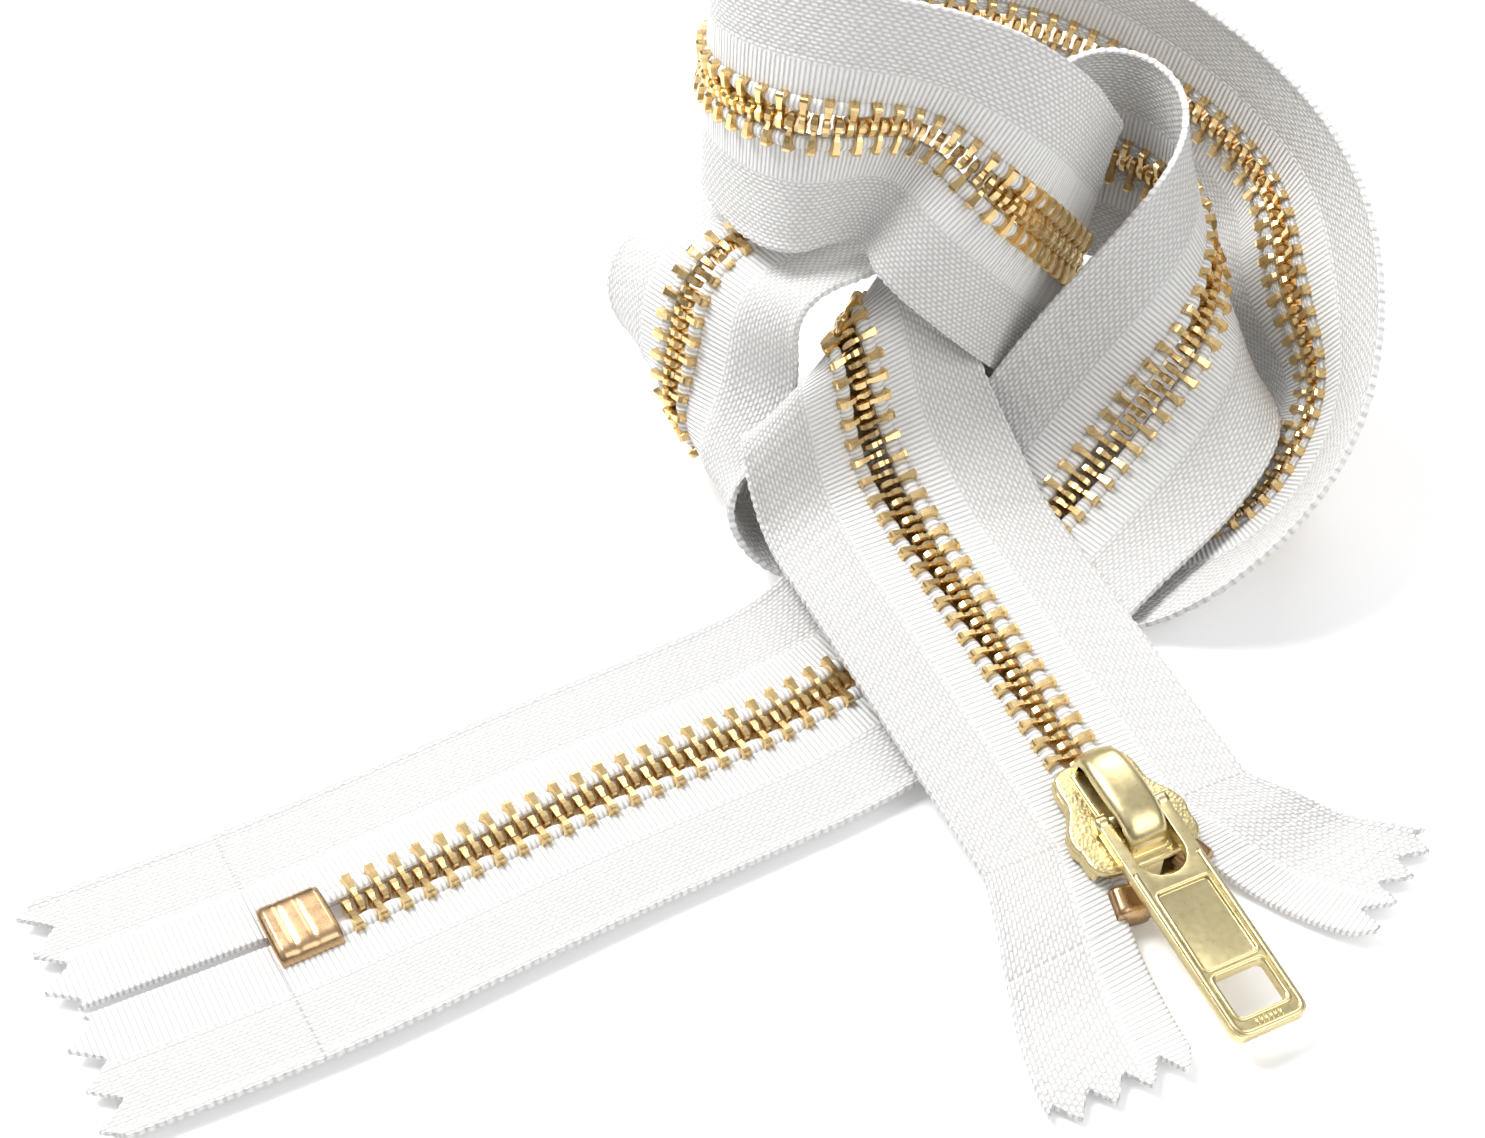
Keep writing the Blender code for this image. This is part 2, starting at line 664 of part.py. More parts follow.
def comb(name, side, start, end):
    """Row of teeth joined along their outer ends, as one body."""
    offset = 0.0 if side > 0 else PITCH / 2
    first = math.ceil((start - offset + TOOTH_W / 2 + END_MARGIN) / PITCH)
    last = math.floor((end - offset - TOOTH_W / 2 - END_MARGIN) / PITCH)
    inner, outer = [(start, SPINE_IN)], [start]
    for k in range(first, last + 1):
        centre = offset + k * PITCH
        a, b = centre - TOOTH_W / 2, centre + TOOTH_W / 2
        inner += [(a, SPINE_IN), (a, TOOTH_IN), (b, TOOTH_IN), (b, SPINE_IN)]
        outer.append(centre)
    inner.append((end, SPINE_IN))
    outer.append(end)

    points = []
    for n in (TOOTH_T, -TOOTH_T):
        points += [ribbon.point(s, side * u, n) for s, u in inner]
        points += [ribbon.point(s, side * SPINE_OUT, n) for s in outer]
    inner_count = len(inner)
    layer = inner_count + len(outer)

    # one layer: the spine's start, then each tooth with the spine after it
    flat = [(inner_count, 0, 1), (inner_count, 1, inner_count + 1)]
    for k in range(1, len(outer) - 1):
        o, i = inner_count + k, 4 * k - 3
        flat += [(o, i, i + 3), (i, i + 1, i + 2, i + 3),
                 (o, i + 3, i + 4), (o, i + 4, o + 1)]
    faces = flat + [tuple(layer + i for i in face)[::-1] for face in flat]
    rim = list(range(inner_count)) + list(range(layer - 1, inner_count - 1, -1))
    for p, q in zip(rim, rim[1:] + rim[:1]):
        faces.append((p, q, layer + q, layer + p))
    solid(name, (points, faces), "teeth_brass")


def bottom_stop():
    """Plate over both tape edges."""
    top, bottom = (np.array([[ribbon.point(stop_s + a, b, n) for b in (-4.0, 4.0)]
                             for a in (-3.0, 3.0)]) for n in (1.5, -1.2))
    solid("bottom_stop", slab(top, bottom), "stop_bronze")


for half, side in SIDES.items():
    tape("tape_" + half, side, main_start, main_end, main_inner_edge)
    tape("tail_" + half, side, TAIL_START, main_start - GAP, lambda s: TAIL_IN,
         step=4.0, columns=11, pink=TAIL_PINK)
    comb("teeth_coil_" + half, side, stop_s + STOP_CLEAR + GAP, curl_teeth_end)
    comb("teeth_front_" + half, side, curl_end, run_start - GAP / 2)
    comb("teeth_run_" + half, side, run_start + GAP / 2, main_end)
bottom_stop()

# ---- parted top ends ---------------------------------------------------------
# Inner and outer edge of each half as (x, y) in the slider frame, from the
# slider's middle (v = 0) to the pinked end (v = 1)
EDGES = {
    "left": ([(0.1, 3.3), (8.0, 4.8), (17.0, 6.2), (25.5, 7.6)],
             [(0.1, 14.5), (9.0, 17.6), (18.0, 20.4), (25.2, 21.6)]),
    "right": ([(0.1, -3.3), (6.5, -6.0), (14.0, -9.6), (20.6, -14.8)],
              [(0.1, -14.5), (5.0, -18.4), (9.0, -22.8), (12.8, -27.6)]),
}
TOP_LENGTH = 27.0         # nominal length from v = 0 to v = 1
SINK_START, SINK_LENGTH = 5.5, 12.0   # stretch where the tape sinks to the floor
FLAT_Z = 0.9              # height of the tape's middle on the floor
SPLIT_V = 0.40            # the top tape ends and the end piece starts here
SPLIT_HALF_GAP = 0.006    # in v
END_PINK = 0.055          # depth of the end's zigzag, in v
TOP_SPINE = 1.35          # spine and tooth tip, inwards from the tape's edge
TOP_TIP = 2.55
TOP_STOP_IN = 3.1         # top stop's reach inwards


def edge_point(half, v, w):
    """Point in the slider's plane, w = 0 on the inner and 1 on the outer edge."""
    inner, outer = (
        np.array([np.interp(v, np.linspace(0, 1, len(edge)), np.array(edge)[:, i])
                  for i in (0, 1)]) for edge in EDGES[half])
    return inner * (1 - w) + outer * w


def top_point(half, v, w, n):
    x, y = edge_point(half, v, w)
    p = local(x, y, 0)
    flat = np.array([p[0], p[1], FLAT_Z])
    t = min(max((TOP_LENGTH * v - SINK_START) / SINK_LENGTH, 0.0), 1.0)
    t = t * t * (3 - 2 * t)
    return p * (1 - t) + flat * t + np.array([0, 0, n]) * t + axis_z * n * (1 - t)


def top_tape(name, half, v0, v1, columns, pink=0.0):
    """Piece of one parted half; pink is the depth of the zigzag at its end."""
    rows = [[v] * columns for v in np.linspace(v0, v1, 7)]
    rows[-1] = [v - (pink if j % 2 else 0) for j, v in enumerate(rows[-1])]
    across = np.linspace(0, 1, columns)
    top, bottom = (np.array([[top_point(half, v, w, n) for v, w in zip(row, across)]
                             for row in rows]) for n in (TAPE_T, -TAPE_T))
    solid(name, slab(top, bottom), "tape_white")


def along_edge(half, v0, v1):
    """Length of a stretch of inner edge, and a placing function for it: s along
    it, u inwards from it, n off the face."""
    start, end = edge_point(half, v0, 0), edge_point(half, v1, 0)
    length = np.linalg.norm(end - start)
    d = (end - start) / length
    outward = np.array([-d[1], d[0]]) * SIDES[half]

    def place(s, u, n):
        x, y = start + d * s - outward * u
        return local(x, y, n)
    return length, place


def top_teeth(half, v0, v1, count=2):
    length, place = along_edge(half, v0, v1)
    outline = [(0, GAP), (0, TOP_SPINE)]
    for k in range(count):
        centre = (k + 0.5) * (length / count)
        a, b = centre - TOOTH_W / 2, centre + TOOTH_W / 2
        outline += [(a, TOP_SPINE), (a, TOP_TIP), (b, TOP_TIP), (b, TOP_SPINE)]
    outline += [(length, TOP_SPINE), (length, GAP)]
    solid("teeth_top_" + half, extrude(outline, -TOOTH_T, TOOTH_T, place), "teeth_brass")


def top_stop(half, v0, v1):
    length, place = along_edge(half, v0, v1)
    outline = rectangle(0, length, GAP, TOP_STOP_IN)
    solid("top_stop_" + half, extrude(outline, -1.1, 1.3, place), "stop_bronze")


for half in SIDES:
    top_tape("tape_top_" + half, half, 0.0, SPLIT_V - SPLIT_HALF_GAP, columns=4)
    top_tape("tape_end_" + half, half, SPLIT_V + SPLIT_HALF_GAP, 1.0, columns=11, pink=END_PINK)
top_teeth("left", 0.10, 0.26)
top_teeth("right", 0.10, 0.22)
top_stop("left", 0.275, 0.385)
top_stop("right", 0.235, 0.375)

# ---- slider (outlines in the slider frame) -----------------------------------
PLATE_IN, PLATE_OUT = 1.5, 2.3     # faces of each plate, off the middle plane
RAIL_IN, RAIL_OUT = 0.65, 1.7      # the same for the rails along the plate edges
POST_HALF = 1.9                    # half height of the post joining the plates
# left edge of the plates, (x, y)
PLATE_EDGE = [(-6.2, 3.0), (-5.6, 4.0), (-1.5, 4.5), (0.5, 5.2), (2.6, 6.2), (5.0, 6.2),
              (6.2, 5.0)]
# left rail, (x, y): inner side, then outer side back
RAIL = [(-5.7, 3.38), (-1.5, 3.4), (0.5, 4.2), (2.6, 5.3), (5.2, 5.5),
        (4.8, 6.1), (2.65, 6.1), (0.55, 5.1), (-1.5, 4.42), (-5.4, 3.95)]
POST = [(3.0, -0.25), (4.2, -0.85), (6.0, -1.25), (6.0, 1.25), (4.2, 0.85), (3.0, 0.25)]
PIN_WINDOW = rectangle(-1.2, 0.4, -0.6, 0.6)
# side views, (x, z)
CROWN = [(-6.0, 2.6), (-6.0, 4.2), (-5.2, 5.4), (-3.0, 5.9), (2.0, 5.9), (4.0, 5.3),
         (4.9, 4.1), (4.9, 2.6), (3.7, 2.6), (3.7, 3.9), (2.9, 4.7), (-4.0, 4.9),
         (-4.8, 4.2), (-4.8, 2.6)]
SPRING = [(-4.3, 4.1), (-4.3, 4.35), (-0.3, 4.35), (-0.3, 4.1)]
LOCK_PIN = [(-4.3, 2.8), (-4.3, 3.35), (-0.35, 3.35), (-0.35, 1.75), (-0.95, 1.75),
            (-0.95, 2.8)]
PIN_AXIS = (-3.9, 3.05)


def slider_body():
    """Two plates joined by the post, rails along their edges, and a window for
    the lock pin in the upper plate."""
    plate = [(x, -y) for x, y in PLATE_EDGE] + PLATE_EDGE[::-1]
    steps = [("UNION", extrude(POST, -POST_HALF, POST_HALF, local)),
             ("UNION", extrude(plate, -PLATE_OUT, -PLATE_IN, local))]
    for low, high in ((RAIL_IN, RAIL_OUT), (-RAIL_OUT, -RAIL_IN)):
        for side in SIDES.values():
            # reversed on the right, so that both rails wind the same way
            rail = [(x, side * y) for x, y in RAIL][::side]
            steps.append(("UNION", extrude(rail, low, high, local)))
    steps.append(("DIFFERENCE", extrude(PIN_WINDOW, 1.2, 2.6, local)))
    carve("slider_body", extrude(plate, PLATE_IN, PLATE_OUT, local), steps, "slider_brass")


def side_piece(name, outline, half_width, mat, origin=(0, 0, 0)):
    """Piece given by its side view, centred on the slider."""
    solid(name, extrude(outline, -half_width, half_width, sideways(local)), mat, origin)


slider_body()
# arch over the upper plate, hollow for the lock
side_piece("slider_crown", CROWN, 2.1, "slider_brass")
# leaf under the crown's roof
side_piece("lock_spring", SPRING, 0.7, "spring_steel")
# lever with a toe in the plate window
side_piece("lock_pin", LOCK_PIN, 0.35, "spring_steel", local(PIN_AXIS[0], 0, PIN_AXIS[1]))

# ---- pull tab ----------------------------------------------------------------
PIVOT = (1.6, 3.75)       # x, z in the slider frame
SLOPE = math.radians(3.0)
TAB_L, TAB_HW = 24.8, 4.0
TAB_T = 0.65              # half thickness
CORNER_R = 1.4
FORK_HW = 2.5             # half width of the slot between the fork's prongs
FORK_X = 5.6              # centre of the slot's round end
CUT_T = 1.2               # reach of the cutting bodies off the tab's middle
PANEL_FLOOR = 0.3         # bottom of the recess in the upper face
BAR_R, BAR_HALF = 0.55, 2.8


def tab(x, y, z):
    """Tab frame: x along the tab from the pivot, z off its face."""
    c, s = math.cos(SLOPE), math.sin(SLOPE)
    return local(PIVOT[0] + x * c + z * s, y, PIVOT[1] - x * s + z * c)


def pull_tab():
    """Forked tab with a window and a recessed panel, and a round bar between the
    prongs under the crown."""
    corner_x, corner_y = TAB_L - CORNER_R, TAB_HW - CORNER_R
    outline = ([(-1.2, -3.6), (1.0, -3.8), (corner_x, -TAB_HW)]
               + arc(corner_x, -corner_y, CORNER_R, -90, 0)
               + arc(corner_x, corner_y, CORNER_R, 0, 90) + [(1.0, 3.8), (-1.2, 3.6)])
    fork = ([(-2.5, -FORK_HW), (FORK_X, -FORK_HW)] + arc(FORK_X, 0, FORK_HW, -80, 80, 8)
            + [(FORK_X, FORK_HW), (-2.5, FORK_HW)])
    window = rectangle(18.6, 22.8, -2.5, 2.5)
    panel = rectangle(9.0, 17.4, -2.6, 2.6)
    bar = arc(0, 0, BAR_R, 0, 315, 7)
    steps = [("DIFFERENCE", extrude(fork, -CUT_T, CUT_T, tab)),
             ("DIFFERENCE", extrude(window, -CUT_T, CUT_T, tab)),
             ("DIFFERENCE", extrude(panel, PANEL_FLOOR, CUT_T, tab)),
             ("UNION", extrude(bar, -BAR_HALF, BAR_HALF, sideways(tab)))]
    carve("pull_tab", extrude(outline, -TAB_T, TAB_T, tab), steps, "slider_brass",
          local(PIVOT[0], 0, PIVOT[1]))


pull_tab()

# ---- the whole pile over the origin, on the floor ----------------------------
SHIFT = (0.55, 7.14, -0.36)
for obj in bpy.data.objects:
    obj.location = tuple(obj.location[k] + SHIFT[k] / MM for k in range(3))
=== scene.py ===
"""Looks of a coiled metal zipper: woven tapes, single teeth, stops, slider and pull tab.

The chain is a ribbon that settles from a table of stations into a pile on the floor, z = 0.
Lengths are mm with z up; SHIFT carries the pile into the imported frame, which is in metres.
Ribbon coordinates: along the chain from the tail, across towards the left selvage, out of
the face. Slider coordinates: x towards the parted top ends, y across to the left, z out.
"""
import math

import bmesh
import bpy
import numpy as np
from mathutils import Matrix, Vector


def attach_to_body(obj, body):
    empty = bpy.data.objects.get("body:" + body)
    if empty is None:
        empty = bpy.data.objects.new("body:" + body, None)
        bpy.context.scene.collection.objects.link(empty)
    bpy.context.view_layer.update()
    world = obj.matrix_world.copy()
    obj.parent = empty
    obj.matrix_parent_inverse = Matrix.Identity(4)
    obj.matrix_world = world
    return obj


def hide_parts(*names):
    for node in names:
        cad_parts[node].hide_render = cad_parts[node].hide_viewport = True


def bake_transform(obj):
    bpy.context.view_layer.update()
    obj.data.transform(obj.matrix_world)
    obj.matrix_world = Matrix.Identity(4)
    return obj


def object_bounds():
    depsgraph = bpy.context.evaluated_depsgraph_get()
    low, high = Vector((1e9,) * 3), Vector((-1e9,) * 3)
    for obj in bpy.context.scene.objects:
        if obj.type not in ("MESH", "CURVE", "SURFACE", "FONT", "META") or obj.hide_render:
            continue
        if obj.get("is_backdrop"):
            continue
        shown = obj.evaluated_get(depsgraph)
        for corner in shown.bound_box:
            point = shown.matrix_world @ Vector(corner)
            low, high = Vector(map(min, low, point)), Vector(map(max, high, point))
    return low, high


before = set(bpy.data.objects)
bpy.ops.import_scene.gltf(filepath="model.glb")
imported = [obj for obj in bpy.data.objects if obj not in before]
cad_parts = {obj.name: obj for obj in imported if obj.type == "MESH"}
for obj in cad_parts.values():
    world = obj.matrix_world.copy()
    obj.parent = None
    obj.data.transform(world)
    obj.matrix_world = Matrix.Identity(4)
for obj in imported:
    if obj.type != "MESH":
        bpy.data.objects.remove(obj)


def flat_bounds():
    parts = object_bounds()
    return [float(x) for part in parts for x in (part if hasattr(part, "__len__") else [part])]


SIZES = {"cad": flat_bounds()}

# ---- ribbon path ---------------------------------------------------------------
# Centre line of the chain from the tail to the top end: x, y, z, then the direction
# across the tape towards its left selvage, then a name where one is needed.
STATIONS = """
-63 -60 1.4   0.46 -0.89 0
-41 -49 1.6   0.5 -0.87 0   bottom_stop
-17 -34.5 1.6   0.5 -0.86 0
4 -22.5 1.6   0.5 -0.86 0   loose_start
10 -18.7 1.6   0.52 -0.85 0
21 -8 2.2   0.55 -0.83 0
31 5 3   0.52 -0.85 -0.05
40 11 7.5   0.53 -0.7 -0.45
48 16 15   0.35 -0.2 -0.9
50.5 27 20   0.2 0.15 -0.95
46 38 22.5   0.1 0.28 -0.95
38 43 23.5   0 0.3 -0.95
30.5 41 25   0 0.35 -0.93
25 34 26   0 0.5 -0.85
18 26.5 25.5   0 0.75 -0.65
9.5 25.5 26.5   -0.05 0.85 -0.5
1.8 21.5 29   -0.2 0.82 -0.5
-7 18 26.5   -0.35 0.8 -0.5
-9.5 14 20.5   -0.4 0.75 -0.52
-5 11 11   -0.1 0.84 -0.52
3 12 5   0.1 0.9 -0.4
13 8 1.6   0 0.98 -0.1
28 1 1.4   -0.1 1 0
44 -3 1.6   -0.3 0.93 -0.1
52 -2 5.5   -0.5 0.5 -0.7
58.5 4 9.5   -0.52 0.4 -0.75
61.5 12 13   -0.6 0.4 -0.7
60.5 22 17   -0.66 0.6 -0.45
59.5 30 20   -0.6 0.6 -0.55
55.5 41 23   -0.4 0.5 -0.77
48 50 25   -0.2 0.4 -0.9
37 55 28   0 0.15 -0.98
24 55 32   0 0.15 -0.98
10 51 36   -0.05 0.15 -0.98
-1 42 39   -0.1 0.15 -0.98
-5 31 40   -0.12 0.2 -0.97
-0.5 21.5 42   -0.1 0.2 -0.97
9 19 45   -0.05 0.18 -0.97
20 19 45   0 0.25 -0.96
27.5 17.5 40   0 0.45 -0.88
30 20 30   0 0 -1
33 25 19   0.1 -0.1 -1
36.5 29 15.5   0.1 -0.1 -1
37.5 33 15   0.1 0.1 -1
34.5 36 14.6   0 0.1 -1
30 32 14   -0.2 0.3 -0.9
27 26 12   -0.4 0.5 -0.75
21.5 24.5 13   -0.4 0.5 -0.75
15 25 14   -0.3 0.4 -0.85
11 23 13.5   -0.3 0 -0.9
8.2 17.6 14   -0.45 -0.35 -0.75
6.5 14 14.5   -0.5 -0.5 -0.65
7 12 12.5   -0.55 -0.65 -0.5
9 10 9.5   -0.65 -0.65 -0.35   front_start
12 8.5 6.5   -0.75 -0.65 -0.1
14.8 4.5 6.9   -0.86 -0.5 0
18 -2 6.6   -0.894 -0.446 0   loose_end
24.2 -14.5 5.4   -0.894 -0.446 0
35.6 -37.5 3.2   -0.894 -0.446 0   slider
45 -56.5 1.4   -0.894 -0.446 0
"""
HALF_W = 14.6           # tape half width, chain centre to selvage
COLS = np.array([-1, -0.5, 0, 0.5, 1]) * HALF_W
ROW = 3.0               # wanted spacing of the path rows
SAMPLES = 9             # points per row when passes are compared: columns and midpoints
TOWARD = np.array([0.0, -0.70711, 0.70711])   # direction the stack order is kept along
ACROSS = np.array([1.0, 0.0, 0.0])
UPWARD = np.array([0.0, 0.70711, 0.70711])

# settling
TURNS = 80
FIRM_SHARE = 0.6        # share of the turns with the full pull towards the stations
PULL, LATE_PULL = 0.05, 0.3   # that pull, and its factor in the later turns
CAREFUL_TURNS = 25      # last turns, with three stacking steps each
STACK_GAP = 2.0         # distance of stacked passes along TOWARD
NEAREST = 2.6           # least distance of two passes in any direction
LENGTHWISE, DIAGONAL, HALF_ACROSS = 0.9, 0.8, 0.5   # stiffness of the links
BENDING = ((2, 0.10), (4, 0.05))              # rows spanned, stiffness
EDGE_FLOOR, CENTRE_FLOOR = 0.7, 1.6           # least heights of tape and chain
UNTANGLE_TURNS, UNTANGLE_STEP = 30, 0.35
SOFTEN = 3              # passes of row smoothing after settling


def unit(vectors):
    return vectors / np.linalg.norm(vectors, axis=-1, keepdims=True)


def resample(wanted, known, values):
    return np.stack([np.interp(wanted, known, values[:, k]) for k in range(3)], 1)


def arc_lengths(points):
    return np.concatenate([[0], np.cumsum(np.linalg.norm(np.diff(points, axis=0), axis=1))])


def gaussian(points, sigma):
    """Blurs along the rows; the ends are mirrored through their end point."""
    reach = int(3 * sigma) + 1
    weights = np.exp(-np.arange(-reach, reach + 1) ** 2 / (2 * sigma * sigma))
    weights /= weights.sum()
    before = 2 * points[0] - points[reach:0:-1]
    after = 2 * points[-1] - points[-2:-reach - 2:-1]
    padded = np.concatenate([before, points, after])
    out = np.zeros_like(points)
    for i, weight in enumerate(weights):
        out += weight * padded[i:i + len(points)]
    return out


def first_path():
    """Even rows along the smoothed station line: centres, tape directions, distances
    along, and the distance of each named station."""
    rows = [line.split() for line in STATIONS.strip().splitlines()]
    table = np.array([[float(v) for v in row[:6]] for row in rows])
    places, sideways = table[:, :3], unit(table[:, 3:])
    at_station = arc_lengths(places)
    fine = np.linspace(0, at_station[-1], int(at_station[-1] / 0.5))
    line = gaussian(resample(fine, at_station, places), 8)
    for _ in range(3):
        miss = places - resample(at_station, fine, line)
        line = gaussian(line + resample(fine, at_station, miss), 5)
    direction = gaussian(resample(fine, at_station, sideways), 12)
    length = arc_lengths(line)
    even = np.linspace(0, length[-1], int(round(length[-1] / ROW)) + 1)
    centre = resample(even, length, line)
    direction = resample(even, length, direction)
    tangent = unit(np.gradient(centre, axis=0))
    direction -= tangent * (direction * tangent).sum(1)[:, None]
    distances = np.interp(at_station, fine, length)
    named = {row[6]: d for row, d in zip(rows, distances) if len(row) > 6}
    return centre, unit(direction), even, named


def samples(grid):
    dense = np.empty((len(grid), SAMPLES, 3))
    dense[:, 0::2] = grid
    dense[:, 1::2] = (grid[:, 1:] + grid[:, :-1]) / 2
    return dense


def row_ids(grid):
    return np.repeat(np.arange(len(grid)), SAMPLES)


def stacked_pairs(grid, radius, row_gap):
    """Sample pairs of different passes that cover each other seen along TOWARD."""
    points = samples(grid).reshape(-1, 3)
    row = row_ids(grid)
    a, b = points @ ACROSS, points @ UPWARD
    near = (a[:, None] - a[None, :]) ** 2 + (b[:, None] - b[None, :]) ** 2 < radius * radius
    return np.nonzero(near & ((row[None, :] - row[:, None]) > row_gap)), points


def stack_order(grid):
    """Which of two overlapping passes lies on top, one answer per connected overlap."""
    (first, second), points = stacked_pairs(grid, 3.0, 6)
    depth = points @ TOWARD
    above = depth[first] - depth[second]
    count = len(points)
    key = first.astype(np.int64) * count + second
    links = []
    steps = (-SAMPLES, SAMPLES, -1, 1, 0)
    for step1 in steps:
        for step2 in steps:
            if step1 == 0 and step2 == 0:
                continue
            near1, near2 = first + step1, second + step2
            ok = (near1 >= 0) & (near1 < count) & (near2 >= 0) & (near2 < count)
            if abs(step1) == 1:
                ok &= near1 // SAMPLES == first // SAMPLES
            if abs(step2) == 1:
                ok &= near2 // SAMPLES == second // SAMPLES
            want = near1.astype(np.int64) * count + near2
            found = np.clip(np.searchsorted(key, want), 0, len(key) - 1)
            ok &= key[found] == want
            links.append((np.nonzero(ok)[0], found[ok]))
    # pairs that touch take the lowest label among them until nothing changes
    label = np.arange(len(key))
    for _ in range(400):
        old = label.copy()
        for source, target in links:
            np.minimum.at(label, source, label[target])
        label = label[label]
        if (old == label).all():
            break
    order = np.zeros((len(grid), len(grid)))
    for one in np.unique(label):
        part = label == one
        sign = 1.0 if np.clip(above[part], -6, 6).sum() > 0 else -1.0
        np.add.at(order, (first[part] // SAMPLES, second[part] // SAMPLES), sign)
    order = np.sign(order)
    # undecided row pairs near an overlap follow their neighbours
    for _ in range(7):
        around = np.zeros_like(order)
        for i in (-1, 0, 1):
            for j in (-1, 0, 1):
                around += np.roll(np.roll(order, i, 0), j, 1)
        order = np.where(order != 0, order, np.sign(around))
    return order


def keep_above_floor(grid, pinned):
    grid[..., 2] = np.maximum(grid[..., 2], np.where(pinned[:, None], -9, EDGE_FLOOR))
    grid[:, 2, 2] = np.maximum(grid[:, 2, 2], CENTRE_FLOOR)


def relax(centre, direction, step, pinned):
    """Lets the strip settle: constant length and width, stiff in bending, never
    through the floor or another pass."""
    start = centre[:, None, :] + direction[:, None, :] * COLS[None, :, None]
    grid = start.copy()
    n = len(grid)
    free = np.where(pinned, 0.0, 1.0)
    free_rows = free[:, None, None]
    order = stack_order(start)
    row = row_ids(grid)
    col_step = COLS[1] - COLS[0]
    diagonal = (col_step * col_step + step * step) ** 0.5

    def hold(a, b, rest, stiffness):
        """Brings the points of slice a to the rest distance from those of slice b."""
        gap = grid[b] - grid[a]
        length = np.linalg.norm(gap, axis=-1, keepdims=True) + 1e-9
        free_a, free_b = free[a[0]][:, None, None], free[b[0]][:, None, None]
        move = stiffness * (length - rest) / length * gap / (free_a + free_b + 1e-9)
        grid[a] += move * free_a
        grid[b] -= move * free_b

    def averaged(first, second, move1, move2):
        """Mean of the sample moves, handed on to the grid points."""
        moves, hits = np.zeros((n * SAMPLES, 3)), np.zeros(n * SAMPLES)
        for which, move in ((first, move1), (second, move2)):
            np.add.at(moves, which, move)
            np.add.at(hits, which, 1)
        moves /= np.maximum(hits, 1)[:, None]
        dense = moves.reshape(n, SAMPLES, 3)
        out = dense[:, 0::2].copy()
        out[:, :-1] += 0.5 * dense[:, 1::2]
        out[:, 1:] += 0.5 * dense[:, 1::2]
        return out * free_rows

    def hold_shape():
        for odd in (0, 1):
            hold(np.s_[odd:n - 1:2, :], np.s_[odd + 1:n:2, :], step, LENGTHWISE)
            for j in range(4):
                here, there = np.s_[j:j + 1], np.s_[j + 1:j + 2]
                for a, b in ((here, there), (there, here)):
                    hold(np.s_[odd:n - 1:2, a], np.s_[odd + 1:n:2, b], diagonal, DIAGONAL)
        for j in range(4):
            hold(np.s_[0:n, j:j + 1], np.s_[0:n, j + 1:j + 2], col_step, 1)
        for a, b, rest in ((0, 4, 2 * HALF_W), (0, 2, HALF_W), (2, 4, HALF_W)):
            hold(np.s_[0:n, a:a + 1], np.s_[0:n, b:b + 1], rest, HALF_ACROSS)

    def bending(span, stiffness):
        gap = grid[span:] - grid[:-span]
        length = np.linalg.norm(gap, axis=-1, keepdims=True)
        move = stiffness * (length - span * step) / length * gap * 0.5
        out = np.zeros_like(grid)
        out[:-span] += move
        out[span:] -= move
        return out * free_rows * 0.5

    def stacking():
        """Parts covering passes along TOWARD, each on its own side."""
        (first, second), points = stacked_pairs(grid, 2.4, 5)
        depth = points @ TOWARD
        sign = order[row[first], row[second]]
        short = np.maximum(0, STACK_GAP - sign * (depth[first] - depth[second]))
        push = np.where(sign != 0, short, 0) * 0.5
        free1, free2 = free[row[first]], free[row[second]]
        total = free1 + free2 + 1e-9
        hit = push > 0
        move1 = (sign * push * 2 * free1 / total)[hit][:, None] * TOWARD
        move2 = -(sign * push * 2 * free2 / total)[hit][:, None] * TOWARD
        return averaged(first[hit], second[hit], move1, move2)

    def parting():
        """Pushes close passes apart where they already lie in the right order."""
        points = samples(grid).reshape(-1, 3)
        apart = ((points ** 2).sum(1)[:, None] + (points ** 2).sum(1)[None, :]
                 - 2 * points @ points.T)
        other_pass = np.abs(row[:, None] - row[None, :]) > 5
        first, second = np.nonzero(np.triu((apart < NEAREST * NEAREST) & other_pass))
        gap = points[second] - points[first]
        length = np.linalg.norm(gap, axis=1)[:, None] + 1e-6
        move = (NEAREST - length) / length * gap * 0.25
        row1, row2 = row[first], row[second]
        sign = order[np.minimum(row1, row2), np.maximum(row1, row2)]
        above = (points[first] - points[second]) @ TOWARD
        above = np.where(row1 < row2, above, -above)
        ok = (sign == 0) | (sign * above > 0)
        return averaged(first[ok], second[ok], -move[ok], move[ok])

    for turn in range(TURNS):
        late = 1 if turn < TURNS * FIRM_SHARE else LATE_PULL
        grid += (start - grid) * PULL * late * free_rows
        for _ in range(3):
            hold_shape()
            for span, stiffness in BENDING:
                grid += bending(span, stiffness)
        for _ in range(3 if turn >= TURNS - CAREFUL_TURNS else 1):
            grid += stacking()
            keep_above_floor(grid, pinned)
        if turn % 2 == 0:
            grid += parting()
    return grid, order


